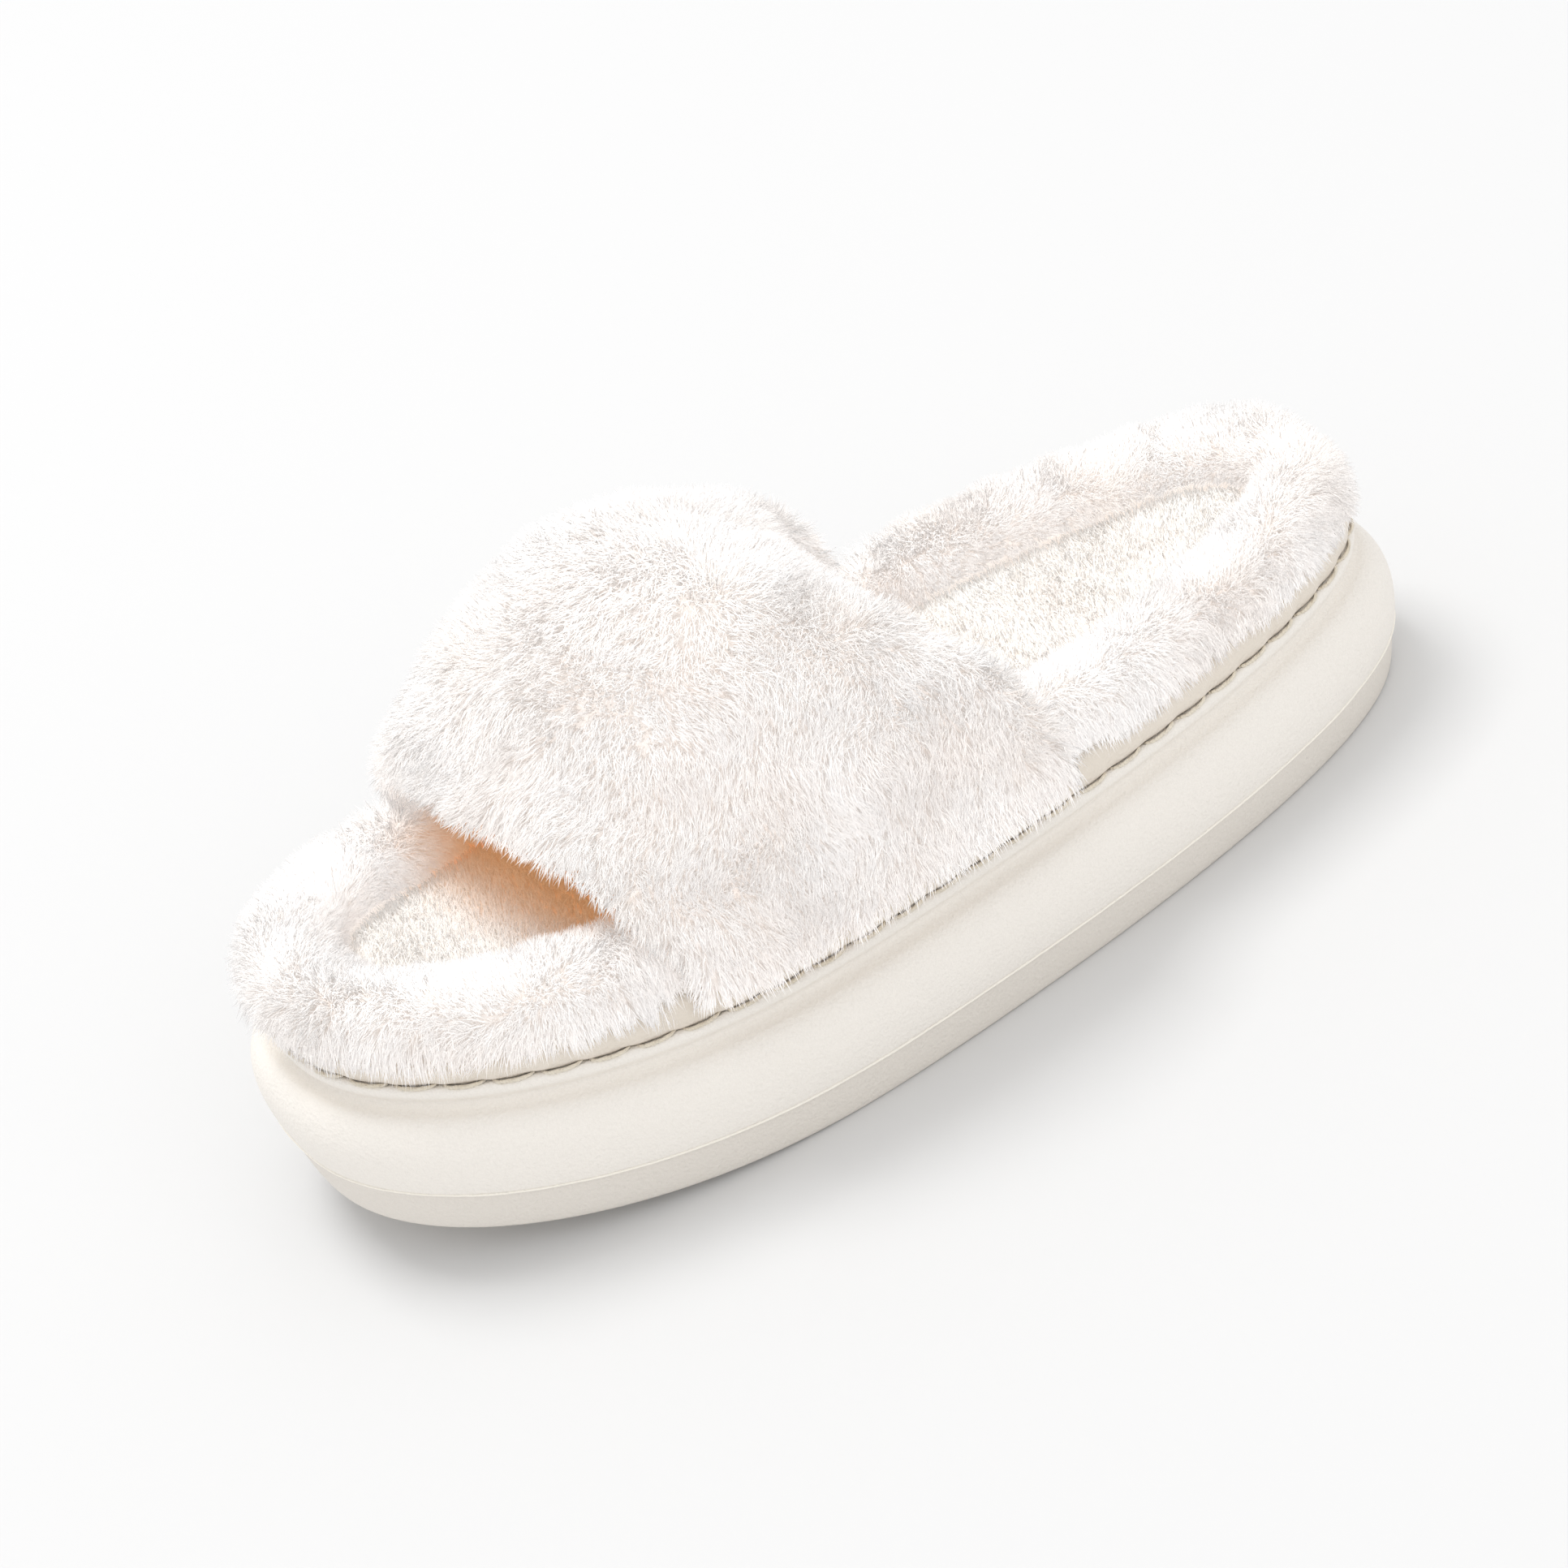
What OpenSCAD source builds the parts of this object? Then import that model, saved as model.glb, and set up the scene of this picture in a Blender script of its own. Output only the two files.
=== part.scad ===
// Open-toe house slipper: a moulded foam sole with a fur-covered padded rim,
// a plush footbed and a wide padded fur strap. Left foot, toe towards -Y.

/* [Sole outline] */
// Length of the sole from toe to heel
sole_length = 268; // [230:1:320]
// Width of the sole across the ball of the foot
ball_width = 110; // [92:1:132]
// Width of the sole across the heel
heel_width = 95; // [76:1:110]
// Roundness of the ends: 2 is an ellipse, more is squarer
end_squareness = 2.55; // [2.1:0.05:2.8]
// How far the toe leans towards the big toe
toe_swing = 4; // [0:1:14]
// How far the underside lifts at the tip of the toe
toe_spring = 14; // [0:1:20]
// Length of the stretch that lifts
toe_lift_length = 104; // [70:1:126]

/* [Sole wall] */
// Height of the lower band, up to the moulding line
band_height = 11; // [7:0.5:15]
// How far the lower band leans in at the ground
band_lean = 2.2; // [0.5:0.1:4]
// How far the moulding flash stands out
flash_proud = 0.5; // [0.2:0.1:1]
// Height of the big rounded bulge
bulge_height = 18; // [13:0.5:24]
// How deep the bulge curves in at its top
bulge_depth = 5.5; // [3:0.5:8]
// Radius of the small bead above the bulge
bead_radius = 1.8; // [1:0.1:2.6]
// Height of the thin lip above the bead
lip_height = 2.6; // [1.5:0.1:5]
// Thickness of the thin lip
lip_thickness = 2; // [1.2:0.1:3]
// Thickness of the floor of the cup under the footbed
cup_floor = 22; // [14:1:26]
// Depth of the grooves in the underside
tread_depth = 1.5; // [0.5:0.5:3]
// Distance between the grooves in the underside
tread_pitch = 11; // [8:1:16]
// Width of one groove in the underside
tread_width = 3; // [2:0.5:5]

/* [Rand and stitching] */
// Thickness of the rand strip
rand_thickness = 1.2; // [0.8:0.1:2]
// How far the rand strip shows above the stitching
rand_show = 6.6; // [4:0.2:10]
// Distance from one sidewall stitch to the next
stitch_pitch = 9.6; // [7:0.2:14]
// Length of thread that shows in each sidewall stitch
stitch_length = 6.6; // [4:0.2:9]
// Thickness of the sidewall thread
thread_diameter = 1.1; // [0.6:0.1:1.3]
// Thickness of the fine sewing thread
fine_thread = 0.7; // [0.4:0.1:0.9]
// Distance from one insole stitch to the next
insole_stitch_pitch = 5; // [4:0.5:8]
// Length of thread that shows in each insole stitch
insole_stitch_length = 3.2; // [2:0.2:3.6]

/* [Footbed] */
// Thickness of the fibre board under the footbed
board_thickness = 2; // [1:0.5:3]
// Thickness of the footbed foam
footbed_foam_thickness = 16; // [12:0.5:20]
// Thickness of the insole plush, backing and pile
plush_thickness = 5; // [3:0.5:8]

/* [Rim] */
// Width of the fur rim seen from above
rim_width = 19.6; // [17:0.2:24]
// Height of the fur rim above the footbed foam
rim_height = 17.2; // [16:0.2:24]
// How far the fur rim stays inside the widest line of the sole
rim_inset = 4.8; // [3:0.2:6]
// Thickness of the fur over the top of the rim
rim_fur_thickness = 4.8; // [3:0.2:7]

/* [Strap] */
// Distance from the toe tip to the front of the strap at the rand
strap_setback = 75; // [66:1:100]
// Length of the strap along the rand
strap_length = 88; // [70:1:104]
// How far the front edge reaches forward over the toes
strap_front_reach = 10; // [4:1:28]
// How much further forward the front edge starts on the inner side
strap_front_lead = 17; // [0:1:24]
// How far the back edge is cut forward over the instep
strap_rear_cut = 24; // [0:1:30]
// Height of the front edge above the rand
strap_front_rise = 36; // [30:1:46]
// Height of the back edge above the rand
strap_rear_rise = 46.5; // [42:1:64]
// Extra height of the strap between its edges
strap_crown = 25; // [4:1:28]
// Boxiness of the strap's arch: 2 is an ellipse
strap_boxiness = 2.3; // [2:0.05:3]
// Thickness of the strap's outer fur
strap_fur_thickness = 5; // [3:0.5:8]
// Thickness of the strap's foam
strap_foam_thickness = 3; // [2:0.5:5]
// Thickness of the strap's fur lining
strap_lining_thickness = 3; // [2:0.5:5]
// How far the strap's outer fur stays inside the widest line of the sole
strap_inset = 2.5; // [1:0.5:5]

/* [Hidden] */

// Gap between pieces that lie side by side
clearance = 0.1;
// Steps round the outline, an even number
outline_steps = 64;
// Steps across and along the strap
strap_across = 26;
strap_along = 7;
LATERAL = 1;
MEDIAL = -1;

// Heights above the ground where the sole is flat
bulge_middle = band_height + bulge_height * 0.5;
bulge_top = band_height + bulge_height;
bead_middle = bulge_top + bead_radius;
bead_top = bead_middle + bead_radius;
lip_top = bead_top + lip_height;
seam_gap = thread_diameter + 2 * clearance;
seam_middle = lip_top + seam_gap / 2;
rand_fold = lip_top + seam_gap;
rand_top = rand_fold + rand_show;
board_top = cup_floor + board_thickness;
footbed_top = board_top + footbed_foam_thickness;
margin_foot = cup_floor + 4;
upper_base = rand_top + clearance;
insole_top = footbed_top + plush_thickness;
// Height at which the rim cover is sewn to the insole plush
insole_seam = insole_top - 1.4;
rim_top = footbed_top + rim_height;

// Distances in from the widest line of the sole
groove_inset = bulge_depth;
lip_outside = bulge_depth + 0.6;
lip_inside = lip_outside + lip_thickness;
rand_outside = lip_inside - rand_thickness;
margin_thickness = 1.1;
margin_inset = lip_inside + rand_thickness + clearance;
tail_inset = margin_inset + margin_thickness + clearance;
footbed_inset = tail_inset + margin_thickness + clearance;
rim_inside = rim_inset + rim_width;
rim_middle = rim_inset + rim_width / 2;
foam_inside = rim_inside - 2;
foam_outside = rim_inset + rim_fur_thickness + 1;
foam_arc_base = upper_base + 1.6;
foam_arc_middle = (foam_inside + foam_outside) / 2;
plush_edge = foam_inside + 0.4;
strap_total = strap_fur_thickness + strap_foam_thickness + strap_lining_thickness;
// The strap is pressed thinner where it meets the rand
side_press = 0.62;
rim_tuck = strap_inset + strap_total * side_press - rim_inset + 0.8;

// Places along the sole
toe_y = -sole_length / 2;
strap_front_y = toe_y + strap_setback;
strap_rear_y = strap_front_y + strap_length;
flat_front_y = toe_y + toe_lift_length;
tuck_blend = 10;

function clamp01(value) = max(0, min(1, value));
function smooth(value) = let (s = clamp01(value)) s * s * (3 - 2 * s);
function mix(a, b, share) = a + (b - a) * share;

// Outline of the sole, moved in by an inset; the angle starts at the toe tip
function centre_x(y) = -toe_swing * pow(clamp01((sole_length * 0.1 - y) / (sole_length * 0.6)), 2);
function half_width(y) = mix(ball_width, heel_width, smooth(y / sole_length / 0.7 + 0.4)) / 2;
function outline_y(angle, inset) =
    (toe_y + inset) * sign(cos(angle)) * pow(abs(cos(angle)), 2 / end_squareness);
function outline_point(angle, inset) =
    let (y = outline_y(angle, inset))
    let (reach = (half_width(y) - inset) * pow(abs(sin(angle)), 2 / end_squareness))
    [centre_x(y) + sign(sin(angle)) * reach - outline_offset, y];
function outline_x(y, inset, side) =
    let (share = pow(min(1, abs(y) / (sole_length / 2 - inset)), end_squareness))
    centre_x(y) + side * (half_width(y) - inset) * pow(1 - share, 1 / end_squareness) - outline_offset;

// The outline is moved so that its box is centred on the origin
angles = [for (i = [0 : outline_steps - 1]) i * 360 / outline_steps];
raw_x = [for (a = angles) centre_x(outline_y(a, 0)) + sign(sin(a)) * half_width(outline_y(a, 0))
    * pow(abs(sin(a)), 2 / end_squareness)];
outline_offset = (min(raw_x) + max(raw_x)) / 2;

function toe_lift(y) = toe_spring * pow(clamp01((flat_front_y - y) / toe_lift_length), 2);
// 1 where the strap presses the rim in, 0 clear of the strap
function tuck_share(y, lead) =
    smooth((y - strap_front_y + lead) / tuck_blend + 1.6) * smooth((strap_rear_y - y) / tuck_blend + 1.6);

function ring(inset, height) = [for (a = angles)
    let (p = outline_point(a, inset)) [p.x, p.y, height + toe_lift(p.y)]];
// A rim ring moves in under the strap by its own share of the tuck
function rim_ring(inset, height, share) = [for (a = angles)
    let (lead = sin(a) < 0 ? strap_front_lead : 0)
    let (moved = inset + rim_tuck * share * tuck_share(outline_y(a, inset), lead))
    let (p = outline_point(a, moved)) [p.x, p.y, height + toe_lift(p.y)]];

function side_faces(rings, closed) = [
    for (r = [0 : (closed ? rings - 1 : rings - 2)], i = [0 : outline_steps - 1])
        let (n = outline_steps, up = (r + 1) % rings, next = (i + 1) % n)
        each [[r * n + i, up * n + i, up * n + next], [r * n + i, up * n + next, r * n + next]]];
function cap_strips(start) = [
    for (i = [0 : outline_steps / 2 - 1])
        let (n = outline_steps, left = (n - i) % n, next_left = n - i - 1)
        each [if (i > 0) [start + i, start + i + 1, start + left],
            if (i < n / 2 - 1) [start + i + 1, start + next_left, start + left]]];
function turned(faces) = [for (f = faces) [f[2], f[1], f[0]]];

// A solid of rings one above the other, each level [inset, height]
module stacked(levels) {
    points = [for (l = levels) each ring(l[0], l[1])];
    last = (len(levels) - 1) * outline_steps;
    polyhedron(points, concat(side_faces(len(levels), false), cap_strips(0), turned(cap_strips(last))));
}

// A closed band round the outline; each profile corner is [inset, height, tuck share]
module band(profile) {
    points = [for (c = profile) each rim_ring(c[0], c[1], c[2])];
    polyhedron(points, side_faces(len(profile), true));
}

// Corners along an oval arc of a band's profile
function oval(middle, height, across, up, from, to, steps, share_out, share_in) = [
    for (k = [0 : steps])
        let (a = mix(from, to, k / steps))
        let (share = mix(share_out, share_in, (1 - cos(a)) / 2))
        [middle - across * cos(a), height + up * sin(a), share]];

// A short round length of thread between two points
module thread(from, to, diameter) {
    run = to - from;
    length = norm(run);
    turn = atan2(run.y, run.x);
    tilt = acos(run.z / length);
    translate(from)
        rotate([0, tilt, turn])
            cylinder(h = length, d = diameter, $fn = 16);
}

// Threads along a ring, each covering its share of one pitch
module ring_threads(inset, height, pitch, length, diameter) {
    path = [for (a = [0 : 360]) let (p = outline_point(a, inset)) [p.x, p.y, height + toe_lift(p.y)]];
    runs = [for (i = 0, s = 0; i <= 360; s = s + (i < 360 ? norm(path[i + 1] - path[i]) : 0), i = i + 1) s];
    total = runs[360];
    count = round(total / pitch);
    for (k = [0 : count - 1]) {
        begin = k * total / count;
        thread(
            [lookup(begin, [for (i = [0 : 360]) [runs[i], path[i].x]]),
                lookup(begin, [for (i = [0 : 360]) [runs[i], path[i].y]]),
                lookup(begin, [for (i = [0 : 360]) [runs[i], path[i].z]])],
            [lookup(begin + length, [for (i = [0 : 360]) [runs[i], path[i].x]]),
                lookup(begin + length, [for (i = [0 : 360]) [runs[i], path[i].y]]),
                lookup(begin + length, [for (i = [0 : 360]) [runs[i], path[i].z]])],
            diameter);
    }
}

// A point of the strap: across 0 is lateral, 180 medial; along 0 is the front edge; depth goes inwards
function strap_y(across, along) =
    let (arch = pow(sin(across), 2), lead = strap_front_lead * (1 - cos(across)) / 2)
    mix(strap_front_y - lead - strap_front_reach * arch, strap_rear_y - strap_rear_cut * arch, along);
function strap_rise(along) =
    mix(strap_front_rise, strap_rear_rise, along) + 4 * strap_crown * along * (1 - along);
function strap_point(across, along, depth) =
    let (y = strap_y(across, along))
    let (inset = strap_inset + depth * side_press)
    let (lateral = outline_x(y, inset, LATERAL), medial = outline_x(y, inset, MEDIAL))
    let (reach = sign(cos(across)) * pow(abs(cos(across)), 2 / strap_boxiness))
    let (rise = (strap_rise(along) - depth) * pow(sin(across), 2 / strap_boxiness))
    [(lateral + medial) / 2 + reach * (lateral - medial) / 2, y, upper_base + rise + toe_lift(y)];

// One layer of the strap between two depths
module strap_layer(outer_depth, inner_depth, first, last) {
    columns = strap_across + 1;
    rows = strap_along + 1;
    sheet = columns * rows;
    points = [for (depth = [outer_depth, inner_depth], r = [0 : strap_along], c = [0 : strap_across])
        strap_point(c * 180 / strap_across, mix(first, last, r / strap_along), depth)];
    outer = [for (r = [0 : strap_along - 1], c = [0 : strap_across - 1])
        let (p = r * columns + c)
        each [[p, p + columns, p + columns + 1], [p, p + columns + 1, p + 1]]];
    inner = [for (f = outer) [f[2] + sheet, f[1] + sheet, f[0] + sheet]];
    front = [for (c = [0 : strap_across - 1])
        each [[c, c + 1, c + 1 + sheet], [c, c + 1 + sheet, c + sheet]]];
    rear_start = strap_along * columns;
    rear = [for (c = [0 : strap_across - 1])
        let (p = rear_start + c)
        each [[p + 1, p, p + sheet], [p + 1, p + sheet, p + 1 + sheet]]];
    lateral = [for (r = [0 : strap_along - 1])
        let (p = r * columns)
        each [[p + columns, p, p + sheet], [p + columns, p + sheet, p + columns + sheet]]];
    medial = [for (r = [0 : strap_along - 1])
        let (p = r * columns + strap_across)
        each [[p, p + columns, p + columns + sheet], [p, p + columns + sheet, p + sheet]]];
    polyhedron(points, turned(concat(outer, inner, front, rear, lateral, medial)));
}

// Threads along one edge of the strap, in the gap that the foam leaves
module strap_threads(along) {
    depth = strap_fur_thickness + strap_foam_thickness / 2;
    count = 24;
    step = 180 / count;
    for (k = [1 : count - 2])
        thread(strap_point(k * step, along, depth), strap_point((k + 0.6) * step, along, depth), fine_thread);
}

// The fabric tail of the strap that goes down behind the rand on one side
module strap_margin(side) {
    steps = 12;
    end_gap = 2;
    front_y = strap_front_y - (side == MEDIAL ? strap_front_lead : 0);
    stations = [for (k = [0 : steps]) mix(front_y + end_gap, strap_rear_y - end_gap, k / steps)];
    corners = [[margin_inset, margin_foot], [margin_inset, upper_base],
        [margin_inset + margin_thickness, upper_base], [margin_inset + margin_thickness, margin_foot]];
    points = [for (y = stations, c = corners) [outline_x(y, c[0], side), y, c[1] + toe_lift(y)]];
    walls = [for (k = [0 : steps - 1], c = [0 : 3])
        let (p = k * 4 + c, q = k * 4 + (c + 1) % 4)
        each [[p, p + 4, q + 4], [p, q + 4, q]]];
    ends = [[0, 1, 2], [0, 2, 3], [steps * 4 + 2, steps * 4 + 1, steps * 4],
        [steps * 4 + 3, steps * 4 + 2, steps * 4]];
    polyhedron(points, side == MEDIAL ? concat(walls, ends) : turned(concat(walls, ends)));
}

// Moulded foam unit sole: lower band, flash line, bulge, groove, bead, lip and cup
module eva_sole() {
    bulge_steps = 9;
    bead_steps = 5;
    bulge = [for (k = [0 : bulge_steps])
        let (a = mix(-50, 88, k / bulge_steps))
        [bulge_depth * (1 - cos(a)), bulge_middle + bulge_height / 2 * sin(a) * (a < 0 ? 1.24 : 1)]];
    bead = [for (k = [0 : bead_steps])
        let (a = mix(-75, 75, k / bead_steps))
        [groove_inset + 0.6 - bead_radius * cos(a) * 1.2, bead_middle + bead_radius * sin(a)]];
    flash_inset = bulge[0][0] - flash_proud;
    levels = concat(
        [[band_lean + bulge[0][0], 0], [band_lean + bulge[0][0] - 0.6, 0.8]],
        [[bulge[0][0], band_height - 0.5], [flash_inset, band_height - 0.2], [flash_inset, band_height + 0.1]],
        bulge,
        [[groove_inset + 0.5, bulge_top + 0.1]],
        bead,
        [[lip_outside, bead_top + 0.2], [lip_outside, lip_top - 0.5], [lip_outside + 0.5, lip_top]],
        [[lip_inside, lip_top], [lip_inside, cup_floor]]);
    // The grooves stop short of the heel and of both sides
    last_groove_y = sole_length / 2 - 34;
    groove_share = 0.62;
    groove_count = floor((last_groove_y - flat_front_y) / tread_pitch);
    color([0.93, 0.905, 0.87])
        difference() {
            stacked(levels);
            for (k = [0 : groove_count]) {
                y = flat_front_y + k * tread_pitch;
                groove_half = half_width(y) * groove_share;
                translate([centre_x(y) - outline_offset - groove_half, y, -1])
                    cube([2 * groove_half, tread_width, 1 + tread_depth]);
            }
        }
}

// Smooth strip between the fur and the sole, tucked behind the lip
module rand_strip() {
    color([0.88, 0.84, 0.78])
        band([
            [lip_inside + rand_thickness, margin_foot, 0],
            [lip_inside, margin_foot, 0],
            [lip_inside, rand_fold, 0],
            [rand_outside, rand_fold + 0.4, 0],
            [rand_outside - 0.3, mix(rand_fold, rand_top, 0.5), 0],
            [rand_outside + 0.3, rand_top, 0],
            [lip_inside + rand_thickness, rand_top, 0]]);
}

// Thick thread round the top of the lip
module sidewall_stitches() {
    color([0.94, 0.91, 0.84])
        ring_threads(lip_outside + thread_diameter / 2, seam_middle, stitch_pitch, stitch_length, thread_diameter);
}

// Stiff fibre board on the floor of the cup
module lasting_board() {
    color([0.72, 0.62, 0.48])
        stacked([[footbed_inset, cup_floor], [footbed_inset, board_top]]);
}

// Soft foam that fills the cup under the insole and the rim
module footbed_foam() {
    color([0.95, 0.93, 0.80])
        stacked([[footbed_inset, board_top], [footbed_inset, footbed_top]]);
}

// Short plush over the middle of the footbed
module insole_plush() {
    seam_room = fine_thread + 2 * clearance;
    color([0.98, 0.965, 0.93])
        stacked([
            [plush_edge, footbed_top],
            [plush_edge, insole_seam - seam_room],
            [rim_inside + 0.3, insole_seam - seam_room],
            [rim_inside + 0.3, insole_seam],
            [rim_inside + 0.9, insole_top]]);
}

// Thread that joins the insole plush to the rim cover
module insole_seam_thread() {
    seam_height = insole_seam - fine_thread / 2 - clearance;
    color([0.92, 0.88, 0.82])
        ring_threads(rim_inside - 0.7, seam_height, insole_stitch_pitch, insole_stitch_length, fine_thread);
}

// Foam roll inside the rim
module rim_foam() {
    foam_top = rim_top - rim_fur_thickness - clearance;
    across = (foam_inside - foam_outside) / 2;
    color([0.95, 0.93, 0.80])
        band(concat(
            [[footbed_inset, footbed_top, 0], [footbed_inset, foam_arc_base - 1, 0.4]],
            oval(foam_arc_middle, foam_arc_base, across, foam_top - foam_arc_base, 0, 180, 10, 1, 0),
            [[foam_inside, footbed_top, 0]]));
}

// Fur cover of the rim, with a tail that is sewn in behind the rand
module rim_fur() {
    arc_height = upper_base + 3.4;
    inner_top = rim_top - rim_fur_thickness;
    across = (foam_inside - foam_outside) / 2 + clearance;
    tail_back = tail_inset + margin_thickness;
    outer = oval(rim_middle, arc_height, rim_width / 2, rim_top - arc_height, -14, 180, 13, 1, 0);
    inner = oval(foam_arc_middle, foam_arc_base, across, inner_top - foam_arc_base, 180, 0, 10, 1, 0);
    color([0.96, 0.945, 0.925])
        band(concat(
            [[rim_inset + 2, upper_base, 1]],
            outer,
            [[rim_inside, insole_seam, 0], [foam_inside + clearance, insole_seam, 0]],
            inner,
            [[tail_back, foam_arc_base - 0.9, 0.4], [tail_back, footbed_top, 0]],
            [[tail_back, margin_foot, 0], [tail_inset, margin_foot, 0], [tail_inset, upper_base, 0]]));
}

// Long fur on the outside of the strap
module strap_fur() {
    color([0.965, 0.95, 0.935])
        strap_layer(0, strap_fur_thickness, 0, 1);
}

// Thin foam inside the strap, short of both edges
module strap_foam() {
    depth = strap_fur_thickness;
    color([0.95, 0.93, 0.80])
        strap_layer(depth + clearance, depth + strap_foam_thickness - clearance, 0.05, 0.95);
}

// Fur lining of the strap
module strap_lining() {
    color([0.90, 0.82, 0.72])
        strap_layer(strap_total - strap_lining_thickness, strap_total, 0, 1);
}

// Thread that closes the front edge of the strap
module strap_front_thread() {
    color([0.92, 0.88, 0.82])
        strap_threads(0.025);
}

// Thread that closes the back edge of the strap
module strap_rear_thread() {
    color([0.92, 0.88, 0.82])
        strap_threads(0.975);
}

// Tail of the strap behind the rand on the outer side of the foot
module strap_margin_lateral() {
    color([0.86, 0.82, 0.76])
        strap_margin(LATERAL);
}

// Tail of the strap behind the rand on the inner side of the foot
module strap_margin_medial() {
    color([0.86, 0.82, 0.76])
        strap_margin(MEDIAL);
}

eva_sole();
rand_strip();
sidewall_stitches();
lasting_board();
footbed_foam();
insole_plush();
insole_seam_thread();
rim_foam();
rim_fur();
strap_fur();
strap_foam();
strap_lining();
strap_front_thread();
strap_rear_thread();
strap_margin_lateral();
strap_margin_medial();
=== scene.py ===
import logging
import math
from dataclasses import dataclass, field
from enum import Enum

import bpy
import numpy as np
from mathutils import Matrix, Vector
from mathutils.kdtree import KDTree

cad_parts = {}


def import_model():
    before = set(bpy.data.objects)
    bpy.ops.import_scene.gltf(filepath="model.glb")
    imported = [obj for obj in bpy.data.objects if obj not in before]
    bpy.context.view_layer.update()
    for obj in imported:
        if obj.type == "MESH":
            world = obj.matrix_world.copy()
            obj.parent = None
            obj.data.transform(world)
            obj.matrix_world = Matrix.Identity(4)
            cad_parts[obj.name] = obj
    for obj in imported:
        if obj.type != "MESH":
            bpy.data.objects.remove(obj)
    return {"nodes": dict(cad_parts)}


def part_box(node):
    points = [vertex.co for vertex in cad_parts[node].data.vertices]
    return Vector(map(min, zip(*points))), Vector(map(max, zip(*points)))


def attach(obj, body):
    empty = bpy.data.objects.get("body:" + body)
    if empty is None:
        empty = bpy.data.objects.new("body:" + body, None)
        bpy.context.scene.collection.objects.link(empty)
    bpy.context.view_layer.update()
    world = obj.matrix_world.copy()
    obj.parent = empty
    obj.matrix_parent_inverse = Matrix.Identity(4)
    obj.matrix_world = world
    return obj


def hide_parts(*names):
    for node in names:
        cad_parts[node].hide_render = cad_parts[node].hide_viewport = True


"""An open-toe house slipper: moulded foam sole, padded fur rim, plush footbed and a wide fur strap.

Lengths are in metres. The toe points to -Y, the outer side of the foot is +X and the floor is Z = 0.
"""

LOG = logging.getLogger("slipper")
MM = 0.001
LATERAL = 1.0
MEDIAL = -1.0
DOWN = np.array([0.0, 0.0, -1.0])
TO_TOE = np.array([0.0, -1.0, 0.0])
# Share of the painted tan shade that the pile takes in the toe opening under the strap.
PAINTED_SHADE_SHARE = 0.95
PELT_TONE = 0.1
STRANDS_PER_PIECE = 18500
FIBRE_POINTS = 7
FIBRE_FACES = np.array([[0, 1, 4], [0, 4, 3], [1, 2, 5], [1, 5, 4], [2, 0, 3], [2, 3, 5],
                        [3, 4, 6], [4, 5, 6], [5, 3, 6], [0, 2, 1]])
FIBRE_DEPTHS = [0.0, 0.0, 0.0, 0.6, 0.6, 0.6, 1.0]


def linear(red: int, green: int, blue: int) -> tuple[float, float, float, float]:
    """Turns an 8-bit display colour into the linear colour that a shader takes.

    Args:
        red: Red from 0 to 255.
        green: Green from 0 to 255.
        blue: Blue from 0 to 255.

    Returns:
        The linear colour with an alpha of 1.
    """
    def one(value: int) -> float:
        """Decodes one channel."""
        share = value / 255
        return share / 12.92 if share <= 0.04045 else ((share + 0.055) / 1.055) ** 2.4
    return (one(red), one(green), one(blue), 1.0)


def clamp01(value: np.ndarray) -> np.ndarray:
    """Limits values to the range 0 to 1."""
    return np.clip(value, 0.0, 1.0)


def smooth(value: np.ndarray) -> np.ndarray:
    """Eases a share from 0 to 1 with level ends."""
    share = clamp01(value)
    return share * share * (3 - 2 * share)


def mix(low: np.ndarray, high: np.ndarray, share: np.ndarray) -> np.ndarray:
    """Blends two values by a share."""
    return low + (high - low) * share


def unit(vectors: np.ndarray) -> np.ndarray:
    """Scales vectors along the last axis to a length of 1."""
    return vectors / np.maximum(np.linalg.norm(vectors, axis=-1, keepdims=True), 1e-9)


def wander(places: np.ndarray, wavelength: float, seed: int, octaves: int = 3) -> np.ndarray:
    """Gives a smooth irregular field, about -1 to 1, as a sum of slanting waves.

    Args:
        places: Points whose last axis is X, Y, Z.
        wavelength: The longest wave.
        seed: Seed of the wave directions.
        octaves: How many sets of waves, each half as long as the one before.

    Returns:
        One value per point.
    """
    rng = np.random.default_rng(seed)
    total = np.zeros(places.shape[:-1])
    for octave in range(octaves):
        for _ in range(5):
            direction = unit(rng.normal(size=3)) * (2 * math.pi / (wavelength * 0.5 ** octave))
            total += np.sin(places @ direction + rng.uniform(0, 2 * math.pi)) * 0.62 ** octave
    return total / (5 ** 0.5 * 1.7)


def wander3(places: np.ndarray, wavelength: float, seed: int) -> np.ndarray:
    """Gives a smooth irregular direction at each point, from three fields with seeds in a row."""
    return np.stack([wander(places, wavelength, seed + i) for i in range(3)], axis=-1)


class Body(Enum):
    """The body that every piece of the slipper rides on."""

    SLIPPER = "root"


class Slot(Enum):
    """The record's material slots that the pieces built here stand for."""

    SOLE = "sole_foam"
    RAND = "rand"
    THICK_THREAD = "thick_thread"
    INSOLE = "insole_pile"
    RIM = "rim_pile"
    STRAP = "strap_pile"
    LINING = "lining_pile"


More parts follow.
